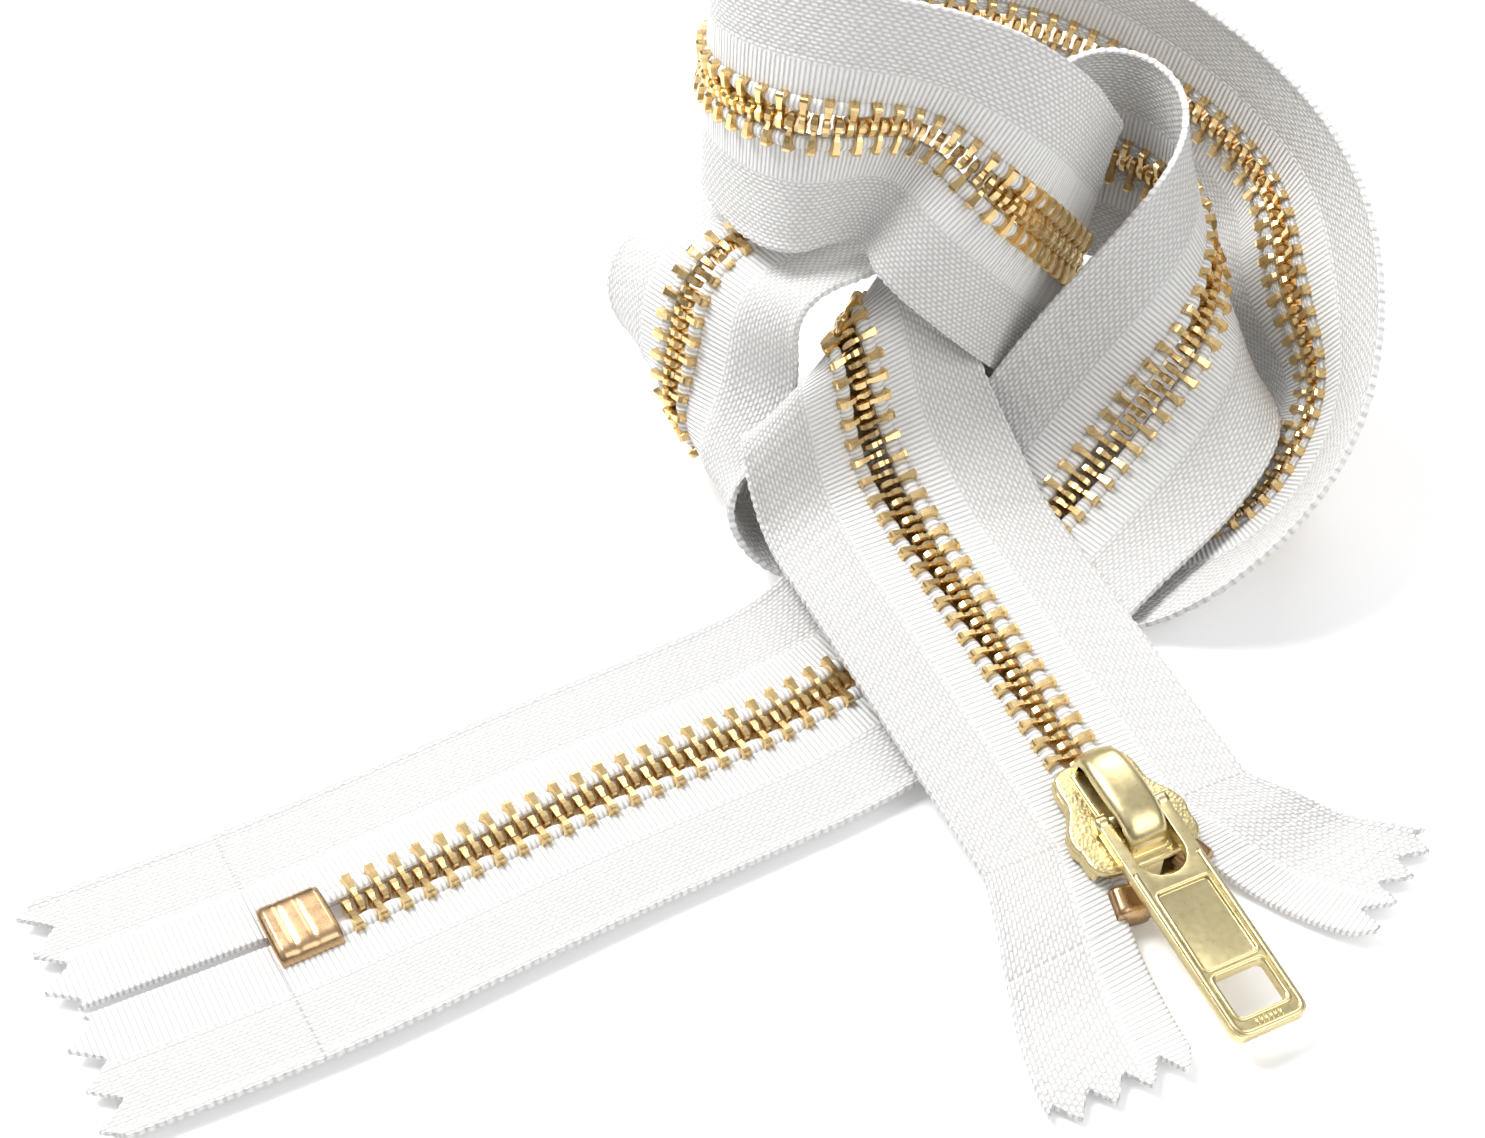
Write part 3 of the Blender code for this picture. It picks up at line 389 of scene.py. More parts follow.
def crossing_rows(grid):
    """Row pairs of passes whose surfaces cut through each other."""
    triangles, rows = [], []
    for i in range(len(grid) - 1):
        for j in range(4):
            a, b, c, d = grid[i, j], grid[i, j + 1], grid[i + 1, j + 1], grid[i + 1, j]
            triangles += [(a, b, c), (a, c, d)]
            rows += [i, i]
    triangles, rows = np.array(triangles), np.array(rows)
    mid = triangles.mean(1)
    apart = (mid ** 2).sum(1)[:, None] + (mid ** 2).sum(1)[None, :] - 2 * mid @ mid.T
    first, second = np.nonzero((apart < 81) & (rows[None, :] - rows[:, None] > 3))
    hit = np.zeros(len(first), bool)

    def edge_cuts(start, end, triangle):
        """Whether each edge from start to end passes through its triangle."""
        corner, b, c = triangle[:, 0], triangle[:, 1], triangle[:, 2]
        ray, side1, side2 = end - start, b - corner, c - corner
        normal = np.cross(ray, side2)
        det = (side1 * normal).sum(1)
        ok = abs(det) > 1e-9
        scale = np.where(ok, 1 / np.where(ok, det, 1), 0)
        offset = start - corner
        u = scale * (offset * normal).sum(1)
        turned = np.cross(offset, side1)
        v = scale * (ray * turned).sum(1)
        w = scale * (side2 * turned).sum(1)
        return ok & (u >= 0) & (v >= 0) & (u + v <= 1) & (w >= 0) & (w <= 1)

    for a, b in ((0, 1), (1, 2), (2, 0)):
        hit |= edge_cuts(triangles[first, a], triangles[first, b], triangles[second])
        hit |= edge_cuts(triangles[second, a], triangles[second, b], triangles[first])
    return rows[first[hit]], rows[second[hit]]


def row_smoothing(grid):
    return 0.25 * grid[:-2] + 0.5 * grid[1:-1] + 0.25 * grid[2:]


def untangle(grid, order, pinned):
    """Parts the last touching rows along the stacking direction."""
    free = np.where(pinned, 0.0, 1.0)[:, None, None]
    r = np.arange(len(grid))
    for _ in range(UNTANGLE_TURNS):
        first, second = crossing_rows(grid)
        if not len(first):
            break
        smoothing, push = np.zeros(len(grid)), np.zeros(len(grid))
        for a, b in sorted(set(zip(first.tolist(), second.tolist()))):
            if b - a < 16:      # a tight bend cutting itself is smoothed
                smoothing = np.maximum(smoothing, ((r > a - 3) & (r < b + 4)).astype(float))
            else:
                sign = order[a, b]
                if sign == 0:
                    sign = 1 if ((grid[a] - grid[b]) @ TOWARD).sum() > 0 else -1
                push += (sign * np.exp(-((r - a) / 3.0) ** 2)
                         - sign * np.exp(-((r - b) / 3.0) ** 2))
        push = np.clip(push, -1, 1) * UNTANGLE_STEP
        smooth = grid.copy()
        smooth[1:-1] = row_smoothing(grid)
        grid += ((smooth - grid) * smoothing[:, None, None] * free
                 + (push[:, None, None] * TOWARD) * free)
        keep_above_floor(grid, pinned)
    return grid


class Ribbon:
    """Smooth surface through the settled rows."""

    def __init__(self):
        centre, direction, even, self.at = first_path()
        self.step = even[1]
        pinned = (even < self.at["loose_start"]) | (even > self.at["loose_end"])
        grid, order = relax(centre, direction, self.step, pinned)
        grid = untangle(grid, order, pinned)
        free = np.where(pinned, 0.0, 1.0)[1:-1, None, None]
        for _ in range(SOFTEN):
            grid[1:-1] += (row_smoothing(grid) - grid[1:-1]) * free
        self.rows, self.count = grid, len(grid)
        self.length = (self.count - 1) * self.step

    def middle(self, along, across):
        """Point of the middle plane: a cubic through the rows, straight between columns."""
        along, across = np.broadcast_arrays(np.asarray(along, float), np.asarray(across, float))
        r = np.clip(along / self.step, 0, self.count - 1.0001)
        i = r.astype(int)
        t = (r - i)[..., None]
        column = np.clip((across / HALF_W + 1) * 2, 0, 3.9999)
        j = column.astype(int)
        share = (column - j)[..., None]

        def row(k):
            k = np.clip(k, 0, self.count - 1)
            return self.rows[k, j] * (1 - share) + self.rows[k, j + 1] * share

        p0, p1, p2, p3 = row(i - 1), row(i), row(i + 1), row(i + 2)
        return 0.5 * (2 * p1 + (p2 - p0) * t + (2 * p0 - 5 * p1 + 4 * p2 - p3) * t * t
                      + (3 * p1 - 3 * p2 + p3 - p0) * t ** 3)

    def normal(self, along, across):
        lengthwise = (self.middle(np.minimum(along + 0.4, self.length), across)
                      - self.middle(np.maximum(along - 0.4, 0), across))
        sideways = (self.middle(along, np.minimum(across + 1.2, HALF_W))
                    - self.middle(along, np.maximum(across - 1.2, -HALF_W)))
        return unit(np.cross(unit(sideways), lengthwise))

    def point(self, along, across, out):
        along, across, out = np.broadcast_arrays(
            np.asarray(along, float), np.asarray(across, float), np.asarray(out, float))
        return self.middle(along, across) + self.normal(along, across) * out[..., None]


# ---- places ----------------------------------------------------------------------
SIDES = (("left", 1), ("right", -1))
FINE = 0.42            # step of the cloth meshes along the chain
SHIFT = np.array([0.55, 7.14, -0.36])
RIBBON = Ribbon()
STOP_S, SLIDER_S = RIBBON.at["bottom_stop"], RIBBON.at["slider"]
MAIN_START, MAIN_END = STOP_S - 3.3, SLIDER_S + 0.1   # whole tape between tail and slider

SLIDER_AT = RIBBON.point(SLIDER_S, 0.0, 0.0)
AHEAD = unit(SLIDER_AT - RIBBON.point(SLIDER_S - 12.0, 0.0, 0.0))
LEFT = RIBBON.point(SLIDER_S, 5.0, 0.0) - SLIDER_AT
LEFT = unit(LEFT - AHEAD * (LEFT @ AHEAD))
FACE = np.cross(LEFT, AHEAD)


def local(x, y, z):
    """Slider coordinates to mm of the pile."""
    return SLIDER_AT + AHEAD * x + LEFT * y + FACE * z


def to_frame(points):
    return (points + SHIFT) / 1000.0


def frame_point(point):
    return tuple(to_frame(point).tolist())


# ---- materials -------------------------------------------------------------------
def wire(tree, node, values):
    """Sets node inputs by name or index; an output socket as value is linked."""
    for key, value in values.items():
        if isinstance(value, bpy.types.NodeSocket):
            tree.links.new(value, node.inputs[key])
        else:
            node.inputs[key].default_value = value


def add_node(tree, kind, values=None, **settings):
    node = tree.nodes.new("ShaderNode" + kind)
    for key, value in settings.items():
        setattr(node, key, value)
    wire(tree, node, values or {})
    return node


def calc(tree, operation, *values):
    return add_node(tree, "Math", dict(enumerate(values)), operation=operation).outputs[0]


def mix_colours(tree, factor, low, high):
    """Colour mix; its colour sockets are inputs 6 and 7 and output 2."""
    values = {0: factor, 6: (*low, 1), 7: (*high, 1)}
    return add_node(tree, "Mix", values, data_type="RGBA").outputs[2]


def bump(tree, height, strength, distance):
    values = {"Strength": strength, "Distance": distance, "Height": height}
    return add_node(tree, "Bump", values).outputs[0]


def new_material(name):
    material = bpy.data.materials.new(name)
    material.use_nodes = True
    tree = material.node_tree
    return material, tree, tree.nodes["Principled BSDF"]


def make_cloth():
    """Woven polyester: crosswise ribs beside the teeth, crepe weave outside.
    The pattern follows the tape's own map of along and across, in mm."""
    rib_pitch, crepe_pitch, thread = 0.56, 0.9, 0.42
    material, tree, shader = new_material("woven_tape")
    tape_map = add_node(tree, "UVMap", uv_map="su").outputs[0]
    along, across = add_node(tree, "SeparateXYZ", {0: tape_map}).outputs[:2]
    noise = add_node(tree, "TexNoise", {"Scale": 2.2, "Detail": 3, "Vector": tape_map})
    wobble = calc(tree, "MULTIPLY", noise.outputs["Fac"], 2.4)

    def ridges(phase):
        return calc(tree, "ABSOLUTE", calc(tree, "SINE", phase))

    rib_wobble = calc(tree, "MULTIPLY", wobble, 0.35)
    rib = ridges(calc(tree, "MULTIPLY_ADD", along, math.pi / rib_pitch, rib_wobble))
    thread_index = calc(tree, "FLOOR", calc(tree, "DIVIDE", across, thread))
    stagger = calc(tree, "MULTIPLY", thread_index, math.pi / 2)
    crepe = calc(tree, "MULTIPLY_ADD", along, math.pi / crepe_pitch, wobble)
    crepe = ridges(calc(tree, "ADD", crepe, stagger))
    threads = ridges(calc(tree, "MULTIPLY", across, math.pi / thread))
    weave = calc(tree, "MULTIPLY", crepe, threads)
    # distance from the chain centre where the ribs give way to the crepe
    change = {"From Min": 6.2, "From Max": 6.9, "Value": calc(tree, "ABSOLUTE", across)}
    outside = add_node(tree, "MapRange", change).outputs[0]
    height = add_node(tree, "Mix", {0: outside, 2: rib, 3: weave}).outputs[0]
    # the base colour follows the weave's height and darkens its low parts: painted shade in the
    # weave's hollows
    wire(tree, shader, {
        "Normal": bump(tree, height, strength=0.75, distance=0.00016),
        "Base Color": mix_colours(tree, height, (0.54, 0.53, 0.515), (0.85, 0.85, 0.845)),
        "Roughness": 0.92,
        "Sheen Weight": 0.08,
        "Specular IOR Level": 0.2,
    })
    return material


def make_metal(name, low, high, roughness, noise_scale, grain, stipple=None, depth=0.00004):
    """Metal mottled between two colours; grain is the bump strength, depth its distance
    in metres, and stipple the scale of a cast cell texture."""
    rough_range = 0.16
    material, tree, shader = new_material(name)
    place = add_node(tree, "TexCoord").outputs["Object"]
    values = {"Scale": noise_scale, "Detail": 5, "Vector": place}
    noise = add_node(tree, "TexNoise", values).outputs["Fac"]
    colour = mix_colours(tree, noise, low, high)
    rough = calc(tree, "MULTIPLY_ADD", noise, rough_range, roughness - rough_range / 2)
    height = noise
    if stipple:
        cells = add_node(tree, "TexVoronoi", {"Scale": stipple, "Vector": place})
        height = cells.outputs["Distance"]
    wire(tree, shader, {
        "Base Color": colour,
        "Metallic": 1.0,
        "Roughness": rough,
        "Normal": bump(tree, height, grain, depth),
    })
    return material


CLOTH = make_cloth()
TEETH = make_metal("golden_brass", low=(0.67, 0.46, 0.20), high=(0.88, 0.67, 0.35),
                   roughness=0.25, noise_scale=900, grain=0.3)
SATIN = make_metal("satin_brass", low=(0.66, 0.54, 0.27), high=(0.84, 0.73, 0.43),
                   roughness=0.30, noise_scale=1500, grain=0.25)
CAST = make_metal("stippled_brass", low=(0.60, 0.49, 0.24), high=(0.78, 0.66, 0.37),
                  roughness=0.36, noise_scale=1500, grain=0.55, stipple=2600, depth=0.00008)
BRONZE = make_metal("coppery_bronze", low=(0.44, 0.28, 0.15), high=(0.64, 0.44, 0.25),
                    roughness=0.28, noise_scale=900, grain=0.3)
STEEL = make_metal("lock_steel", low=(0.5, 0.5, 0.51), high=(0.6, 0.6, 0.61),
                   roughness=0.3, noise_scale=900, grain=0.2)


# ---- mesh helpers ----------------------------------------------------------------
def mesh(name, points, faces, material, smooth=True, uv=None):
    data = bpy.data.meshes.new(name)
    points = np.asarray(points, np.float64).reshape(-1, 3)
    data.from_pydata(to_frame(points).tolist(), [], faces)
    data.materials.append(material)
    if uv is not None:
        layer = data.uv_layers.new(name="su")
        index = np.empty(len(data.loops), np.int32)
        data.loops.foreach_get("vertex_index", index)
        uv = np.asarray(uv, np.float32).reshape(-1, 2)
        layer.data.foreach_set("uv", uv[index].ravel())
    data.polygons.foreach_set("use_smooth", np.full(len(data.polygons), smooth))
    data.update()
    ob = bpy.data.objects.new(name, data)
    bpy.context.scene.collection.objects.link(ob)
    return ob


def attach(ob, body, node=None):
    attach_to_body(ob, body)
    if node:
        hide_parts(node)


def shell(top, bottom):
    """Closed shell between two equal point grids: top faces, bottom faces, walls."""
    n, m = top.shape[:2]
    i, j = np.meshgrid(np.arange(n - 1), np.arange(m - 1), indexing="ij")
    a = (i * m + j).ravel()
    upper = np.stack([a, a + 1, a + m + 1, a + m], 1)
    lower = upper[:, ::-1] + n * m
    rim = list(range(m)) + [i * m + m - 1 for i in range(1, n)]
    rim += [(n - 1) * m + j for j in range(m - 2, -1, -1)]
    rim += [i * m for i in range(n - 2, 0, -1)]
    rim = np.array(rim)
    after = np.roll(rim, -1)
    walls = np.stack([rim, rim + n * m, after + n * m, after], 1)
    points = np.concatenate([top.reshape(-1, 3), bottom.reshape(-1, 3)])
    return points, np.concatenate([upper, lower, walls]).tolist()


def prism(outline, z0, z1, place=local):
    n = len(outline)
    points = [place(x, y, z) for z in (z0, z1) for x, y in outline]
    faces = [tuple(range(n - 1, -1, -1)), tuple(range(n, 2 * n))]
    faces += [(k, (k + 1) % n, n + (k + 1) % n, n + k) for k in range(n)]
    return points, faces


def rounded(outline, radius, steps=5):
    """Outline with its corners rounded."""
    out = []
    corners = [np.array(p, float) for p in outline]
    for k, corner in enumerate(corners):
        back, on = corners[k - 1] - corner, corners[(k + 1) % len(corners)] - corner
        back_length, on_length = np.linalg.norm(back), np.linalg.norm(on)
        reach = min(radius, back_length * 0.45, on_length * 0.45)
        p, q = corner + back / back_length * reach, corner + on / on_length * reach
        for t in np.linspace(0, 1, steps):
            out.append(tuple((1 - t) ** 2 * p + 2 * t * (1 - t) * corner + t * t * q))
    return out


def face_outwards(ob):
    bm = bmesh.new()
    bm.from_mesh(ob.data)
    bmesh.ops.recalc_face_normals(bm, faces=bm.faces)
    bm.to_mesh(ob.data)
    bm.free()
    return ob


def bevel(ob, width):
    modifier = ob.modifiers.new("edge", "BEVEL")
    modifier.width, modifier.segments = width / 1000, 3
    modifier.limit_method, modifier.angle_limit = "ANGLE", math.radians(30)
    for polygon in ob.data.polygons:
        polygon.use_smooth = True


def cut(ob, shapes):
    """Takes the shapes out of the object for good."""
    cutters = []
    for k, (points, faces) in enumerate(shapes):
        cutter = mesh(ob.name + "_t%d" % k, points, faces, ob.data.materials[0])
        modifier = ob.modifiers.new("c%d" % k, "BOOLEAN")
        modifier.operation, modifier.solver = "DIFFERENCE", "EXACT"
        modifier.object = face_outwards(cutter)
        cutters.append(cutter)
    graph = bpy.context.evaluated_depsgraph_get()
    data = bpy.data.meshes.new_from_object(ob.evaluated_get(graph))
    ob.modifiers.clear()
    ob.data = data
    for cutter in cutters:
        bpy.data.objects.remove(cutter, do_unlink=True)


# ---- tapes -----------------------------------------------------------------------
TAPE_HALF = 0.24        # half thickness of the cloth
TONGUE = 0.5            # length of the tongue inside the next stretch
TONGUE_SINK = -0.02     # its surface against the tape's
PARTED = 27.0           # length of a parted top end
FIXED = 0.40            # share of it that rides with the zipper
# mesh columns from the chain to the selvage
TAPE_COLS = np.concatenate([np.linspace(2.7, 13.0, 26), [13.35, 13.7, 14.0, 14.25, 14.45, 14.6]])


def smooth_step(x):
    x = np.clip(x, 0, 1)
    return x * x * (3 - 2 * x)


def zigzag(x):
    """Triangle wave from 1 to 0 and back over each unit of x."""
    return np.abs((x % 1) - 0.5) * 2


def relief(along, across):
    """Height of the weave over the tape's plain surface."""
    ribbed = np.clip((6.9 - across) / 0.6, 0, 1)
    rib = 0.06 * np.abs(np.sin(math.pi * along / 0.9))
    stagger = 2.1 * np.floor(across / 0.9)
    crepe = 0.055 * np.sin(2 * math.pi * along / 1.9 + stagger) * np.sin(math.pi * across / 0.9)
    crepe += (0.03 * np.sin(along * 3.7 + across * 5.1)
              * np.sin(along * 1.3 - across * 2.3))
    selvage = (0.14 * np.exp(-((across - 14.2) / 0.45) ** 2)
               * (1 + 0.5 * np.sin(2 * math.pi * along / 1.3)))
    grooves = (-0.06 * np.exp(-((across - 7.2) / 0.16) ** 2)
               - 0.05 * np.exp(-((across - 13.2) / 0.16) ** 2))
    # the relief dies away where two stretches of one tape meet
    fade = 1.0
    for seam in (MAIN_START, SLIDER_S, SLIDER_S + PARTED * FIXED):
        fade = fade * smooth_step(np.abs(along - seam) / 1.4)
    return fade * (ribbed * rib + (1 - ribbed) * crepe + selvage + grooves)


def cloth_mesh(name, top, bottom, along, across, sunk_rows):
    """Tape shell with its map. Walls shade apart from its faces, and so do its last
    rows where they sink into the next stretch, so joints leave no line."""
    points, faces = shell(top, bottom)
    uv = np.stack([along, across], -1).reshape(-1, 2)
    ob = mesh(name, points, faces, CLOTH, uv=np.concatenate([uv, uv]))
    n, m = top.shape[:2]
    flags = np.ones(len(faces), bool)
    flags[-(2 * (n + m) - 4):] = False
    for end in ((n - 1) * (m - 1), 2 * (n - 1) * (m - 1)):
        flags[end - sunk_rows * (m - 1):end] = False
    ob.data.polygons.foreach_set("use_smooth", flags)
    return ob


def tape(name, side, start, end, columns=TAPE_COLS, jag=0.0):
    """One tape along the ribbon; jag is the depth of the zigzag cut at its start."""
    rows = np.linspace(start, end, max(8, int((end - start) / FINE)))
    rows = np.append(rows, [end + 0.02, end + TONGUE])
    along, across = np.meshgrid(rows, columns, indexing="ij")
    if jag:
        near_cut = np.clip(1 - (along - start) / 5.2, 0, 1)
        along = along + near_cut * jag * zigzag((across - 1.2) / 4.7)
    wave = 0.10 * np.sin(2 * math.pi * along / 1.3) * np.clip((across - 14) / 0.6, 0, 1)
    height = np.where(along > end + 0.01, TONGUE_SINK, relief(along, across))
    top, bottom = (RIBBON.point(along, side * (across + wave), face * (TAPE_HALF + height))
                   for face in (1, -1))
    return cloth_mesh(name, top, bottom, along, side * across, 2)


def main_tape(word, side):
    ob = tape("cloth_" + word, side, MAIN_START, MAIN_END)
    attach(ob, "zipper", "tape_" + word)


def tail_tape(word, side):
    columns = np.concatenate([np.linspace(0.5, 2.3, 5), TAPE_COLS])
    ob = tape("cloth_tail_" + word, side, 1.4, MAIN_START, columns, jag=3.0)
    bend = [frame_point(RIBBON.point(MAIN_START - back, 0.0, 0.0)) for back in (0.15, 8.0)]
    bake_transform(ob)
    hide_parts("tail_" + word)


# ---- cords and teeth -------------------------------------------------------------
PITCH = 2.45            # tooth spacing on one tape
# one tooth: distance across, half width along the chain, half thickness
TOOTH = [(-1.00, 0.26, 0.60), (-0.86, 0.40, 0.86), (-0.35, 0.47, 1.06), (0.20, 0.45, 1.12),
         (0.52, 0.34, 0.84), (0.86, 0.34, 0.86), (1.25, 0.40, 1.16), (2.0, 0.45, 1.30),
         (2.62, 0.54, 1.40), (2.92, 0.56, 1.36), (3.06, 0.46, 1.14)]
# its section, as factors of the two half sizes
SECTION = [(1, 0.55), (0.72, 1), (-0.72, 1), (-1, 0.55),
           (-1, -0.55), (-0.72, -1), (0.72, -1), (1, -0.55)]


def tooth_offset(side):
    """The right teeth sit half a pitch on from the left ones."""
    return 0.0 if side > 0 else PITCH / 2


def cord(name, side, start, end, place):
    """Corded edge the teeth are clamped on; it bulges between them."""
    around = 10
    rows = np.arange(start, end, 0.35)
    angles = np.linspace(0, 2 * math.pi, around, endpoint=False)
    along, angle = np.meshgrid(rows, angles, indexing="ij")
    bulge = 0.5 - 0.5 * np.cos(2 * math.pi * (along - tooth_offset(side)) / PITCH)
    half_width, half_height = 0.78 + 0.10 * bulge, 0.62 + 0.22 * bulge
    points = place(along, side * (2.05 + half_width * np.cos(angle)),
                   half_height * np.sin(angle))
    n = len(rows)
    i, j = np.meshgrid(np.arange(n - 1), np.arange(around), indexing="ij")
    a = (i * around + j).ravel()
    b = (i * around + (j + 1) % around).ravel()
    faces = np.stack([a, a + around, b + around, b], 1).tolist()
    faces += [list(range(around))[::-1], [(n - 1) * around + q for q in range(around)]]
    ob = mesh(name, points, faces, CLOTH, uv=np.stack([along, 4.0 + angle], -1))
    attach(ob, "zipper")


def teeth(word, side, stretch, centres, place):
    """All teeth of one stretch of one tape."""
    rings, around = len(TOOTH), len(SECTION)
    across, half_width, half_height = np.array(TOOTH).T[:, None, :, None]
    wide, high = np.array(SECTION, float).T[:, None, None, :]
    along = np.asarray(centres, float)[:, None, None] + half_width * wide
    points = place(along, side * np.broadcast_to(across, along.shape),
                   np.broadcast_to(half_height * high, along.shape))
    faces = []
    for tooth in range(len(centres)):
        base = tooth * rings * around
        for i in range(rings - 1):
            for j in range(around):
                a, b = base + i * around + j, base + i * around + (j + 1) % around
                if side > 0:
                    faces.append((a, b, b + around, a + around))
                else:
                    faces.append((a, a + around, b + around, b))
        last = base + (rings - 1) * around
        faces.append(tuple(base + j for j in range(around))[::-side])
        faces.append(tuple(last + j for j in range(around))[::side])
    ob = mesh("brass_%s_%s" % (stretch, word), points, faces, TEETH, smooth=False)
    attach(ob, "zipper", "teeth_%s_%s" % (stretch, word))


def tooth_centres(side, start, end):
    offset = tooth_offset(side)
    first, last = math.ceil((start - offset) / PITCH), math.floor((end - offset) / PITCH)
    return [offset + k * PITCH for k in range(first, last + 1)]


FRONT_S, RUN_S = RIBBON.at["front_start"], SLIDER_S - 22.0
# stretches of teeth; the small step keeps a tooth out of two stretches
STRETCHES = (("coil", STOP_S + 4.0, FRONT_S), ("front", FRONT_S + 0.01, RUN_S),
             ("run", RUN_S + 0.01, MAIN_END))

for word, side in SIDES:
    main_tape(word, side)
    tail_tape(word, side)
    cord("cord_" + word, side, STOP_S + 3.0, MAIN_END, RIBBON.point)
    for stretch, start, end in STRETCHES:
        teeth(word, side, stretch, tooth_centres(side, start, end), RIBBON.point)


def bottom_stop():
    """Sheet staple folded over both cords, with two grooves across it."""
    along, across = np.meshgrid(np.linspace(-3.1, 3.1, 31), np.linspace(-1, 1, 25),
                                indexing="ij")
    grooves = (0.13 * np.exp(-((along + 1.3) / 0.25) ** 2)
               + 0.08 * np.exp(-((along - 0.6) / 0.2) ** 2))
    thinner_ends = 0.28 * (np.abs(along) > 2.8)
    roll = np.sqrt(np.maximum(0.0, 1 - np.abs(across) ** 6))
    height = (1.75 - thinner_ends - grooves) * roll
    place = STOP_S + along * (1 - 0.04 * across ** 4)
    top = RIBBON.point(place, 3.7 * across, height)
    bottom = RIBBON.point(place, 3.7 * across, -0.85 * np.maximum(height, 0.3))
    ob = mesh("stop_staple", *shell(top, bottom), BRONZE)
    attach(ob, "zipper", "bottom_stop")


bottom_stop()

# ---- parted top ends -------------------------------------------------------------
INNER = 2.9             # distance of the parted inner edge from the chain centre
REST_Z = 0.9            # height of an end lying on the floor
# inner edge, then selvage, as slider x and y
EDGES = {
    "left": ([(0.1, 2.9), (8.0, 4.6), (17.0, 6.2), (25.9, 7.4)],
             [(0.1, 14.6), (9.0, 17.6), (18.0, 20.6), (25.6, 21.8)]),
    "right": ([(0.1, -2.9), (6.5, -5.7), (14.0, -9.4), (21.2, -14.6)],
              [(0.1, -14.6), (5.0, -18.6), (9.0, -23.0), (12.9, -28.0)]),
}
# distances from the slider's middle: tooth centres, then the top stop's two ends
TOP_METAL = {"left": ([3.1, 5.55], (7.6, 10.6)), "right": ([2.9, 5.3], (6.6, 9.8))}


def edge_point(word, share, width):
    """Slider x and y at a share of the length and of the width, on cubic edges."""
    def on_edge(points):
        points = np.array(points)
        knots = np.linspace(0, 1, len(points))
        return np.stack([np.polyval(np.polyfit(knots, points[:, k], 3), share)
                         for k in (0, 1)], -1)

    inner, outer = (on_edge(points) for points in EDGES[word])
    return inner * (1 - width)[..., None] + outer * width[..., None]


def laid_down(xy, along):
    """Slider x and y to the pile, easing from the slider's plane onto the floor."""
    sloped = SLIDER_AT + xy[..., :1] * AHEAD + xy[..., 1:] * LEFT
    ease = smooth_step((along - 5.5) / 12.0)[..., None]
    flat = sloped.copy()
    flat[..., 2] = REST_Z
    return sloped * (1 - ease) + flat * ease, ease


def top_point(word, share, width, out):
    points, ease = laid_down(edge_point(word, share, width), PARTED * share)
    points = points + (FACE * (1 - ease) + np.array([0, 0, 1.0]) * ease) * out[..., None]
    ripple = 0.5 * np.sin(share * 7 + width * 3) * np.clip(share - 0.3, 0, 1)
    lift = ripple + 0.9 * np.clip(share - 0.25, 0, 1) * (1 - width) ** 2
    points[..., 2] += np.maximum(lift, 0)
    return points


def top_cloth(name, word, side, start, end, free_end):
    """A parted tape between two shares of its length; the free end is cut in a zigzag,
    the other stretch ends in a tongue."""
    rows = np.linspace(start, end, max(8, int(PARTED * (end - start) / FINE)))
    if not free_end:
        rows = np.append(rows, [end + 0.001, end + 0.02])
    share, width = np.meshgrid(rows, (TAPE_COLS - INNER) / (HALF_W - INNER), indexing="ij")
    if free_end:
        near_cut = np.clip((share - 0.80) / 0.20, 0, 1)
        share = share - near_cut * 0.125 * zigzag(width * 4.0 + 0.2)
    along, across = share * PARTED + SLIDER_S, INNER + width * (HALF_W - INNER)
    height = relief(along, across)
    if not free_end:
        height = np.where(share > end + 0.0005, TONGUE_SINK, height)
    top, bottom = (top_point(word, share, width, face * (TAPE_HALF + height))
                   for face in (1, -1))
    return cloth_mesh(name + word, top, bottom, along, side * across, 0 if free_end else 2)


def parted_tape(word, side):
    ob = top_cloth("cloth_top_", word, side, 0.0, FIXED, free_end=False)
    attach(ob, "zipper", "tape_top_" + word)

    ob = top_cloth("cloth_end_", word, side, FIXED, 1.03, free_end=True)
    # the seam's middle and a direction square to the seam are worked out here; nothing uses them
    places = ((FIXED, 0.0), (FIXED, 1.0), (FIXED, 0.5), (FIXED + 0.3, 0.5))
    inner, outer, middle, beyond = (
        top_point(word, np.array([share]), np.array([width]), np.array([0.0]))[0]
        for share, width in places)
    seam, onward = outer - inner, beyond - middle
    onward -= seam * (onward @ seam) / (seam @ seam)
    frame_point(middle)
    frame_point(middle + onward)
    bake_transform(ob)
    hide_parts("tape_end_" + word)


def beside_edge(word, side):
    """Ribbon-like coordinates along a parted inner edge, from the slider's middle."""
    def place(along, across, out):
        share = along / PARTED
        width = np.zeros_like(share)
        heading = unit(edge_point(word, share + 0.01, width)
                       - edge_point(word, share - 0.01, width))
        outward = np.stack([-heading[..., 1], heading[..., 0]], -1) * side
        xy = edge_point(word, share, width) - outward * (INNER - np.abs(across))[..., None]
        return laid_down(xy, along)[0] + FACE * out[..., None]

    return place


def top_stop(word, start, end, place):
    """Sheet clip folded over one cord."""
    along, across = np.meshgrid(np.linspace(start, end, 11), np.linspace(-1, 1, 15),
                                indexing="ij")
    roll = np.sqrt(np.maximum(0, 1 - np.abs(across) ** 5))
    ends = 1 - 0.25 * (np.abs((along - start) / (end - start) - 0.5) > 0.42)
    top, bottom = (place(along, 1.95 + 1.75 * across, height * roll * ends)
                   for height in (1.55, -1.35))
    ob = mesh("stop_top_" + word, *shell(top, bottom), BRONZE)
    attach(ob, "zipper", "top_stop_" + word)


for word, side in SIDES:
    parted_tape(word, side)
    edge_place = beside_edge(word, side)
    centres, stop_ends = TOP_METAL[word]
    teeth(word, side, "top", centres, edge_place)
    cord("cord_top_" + word, side, 0.3, 10.6, edge_place)
    top_stop(word, *stop_ends, edge_place)

# ---- slider ----------------------------------------------------------------------
PLATE_Z = (1.5, 2.45)   # inner and outer face of a plate, from the chain's plane
RAIL_Z = (0.62, 1.9)
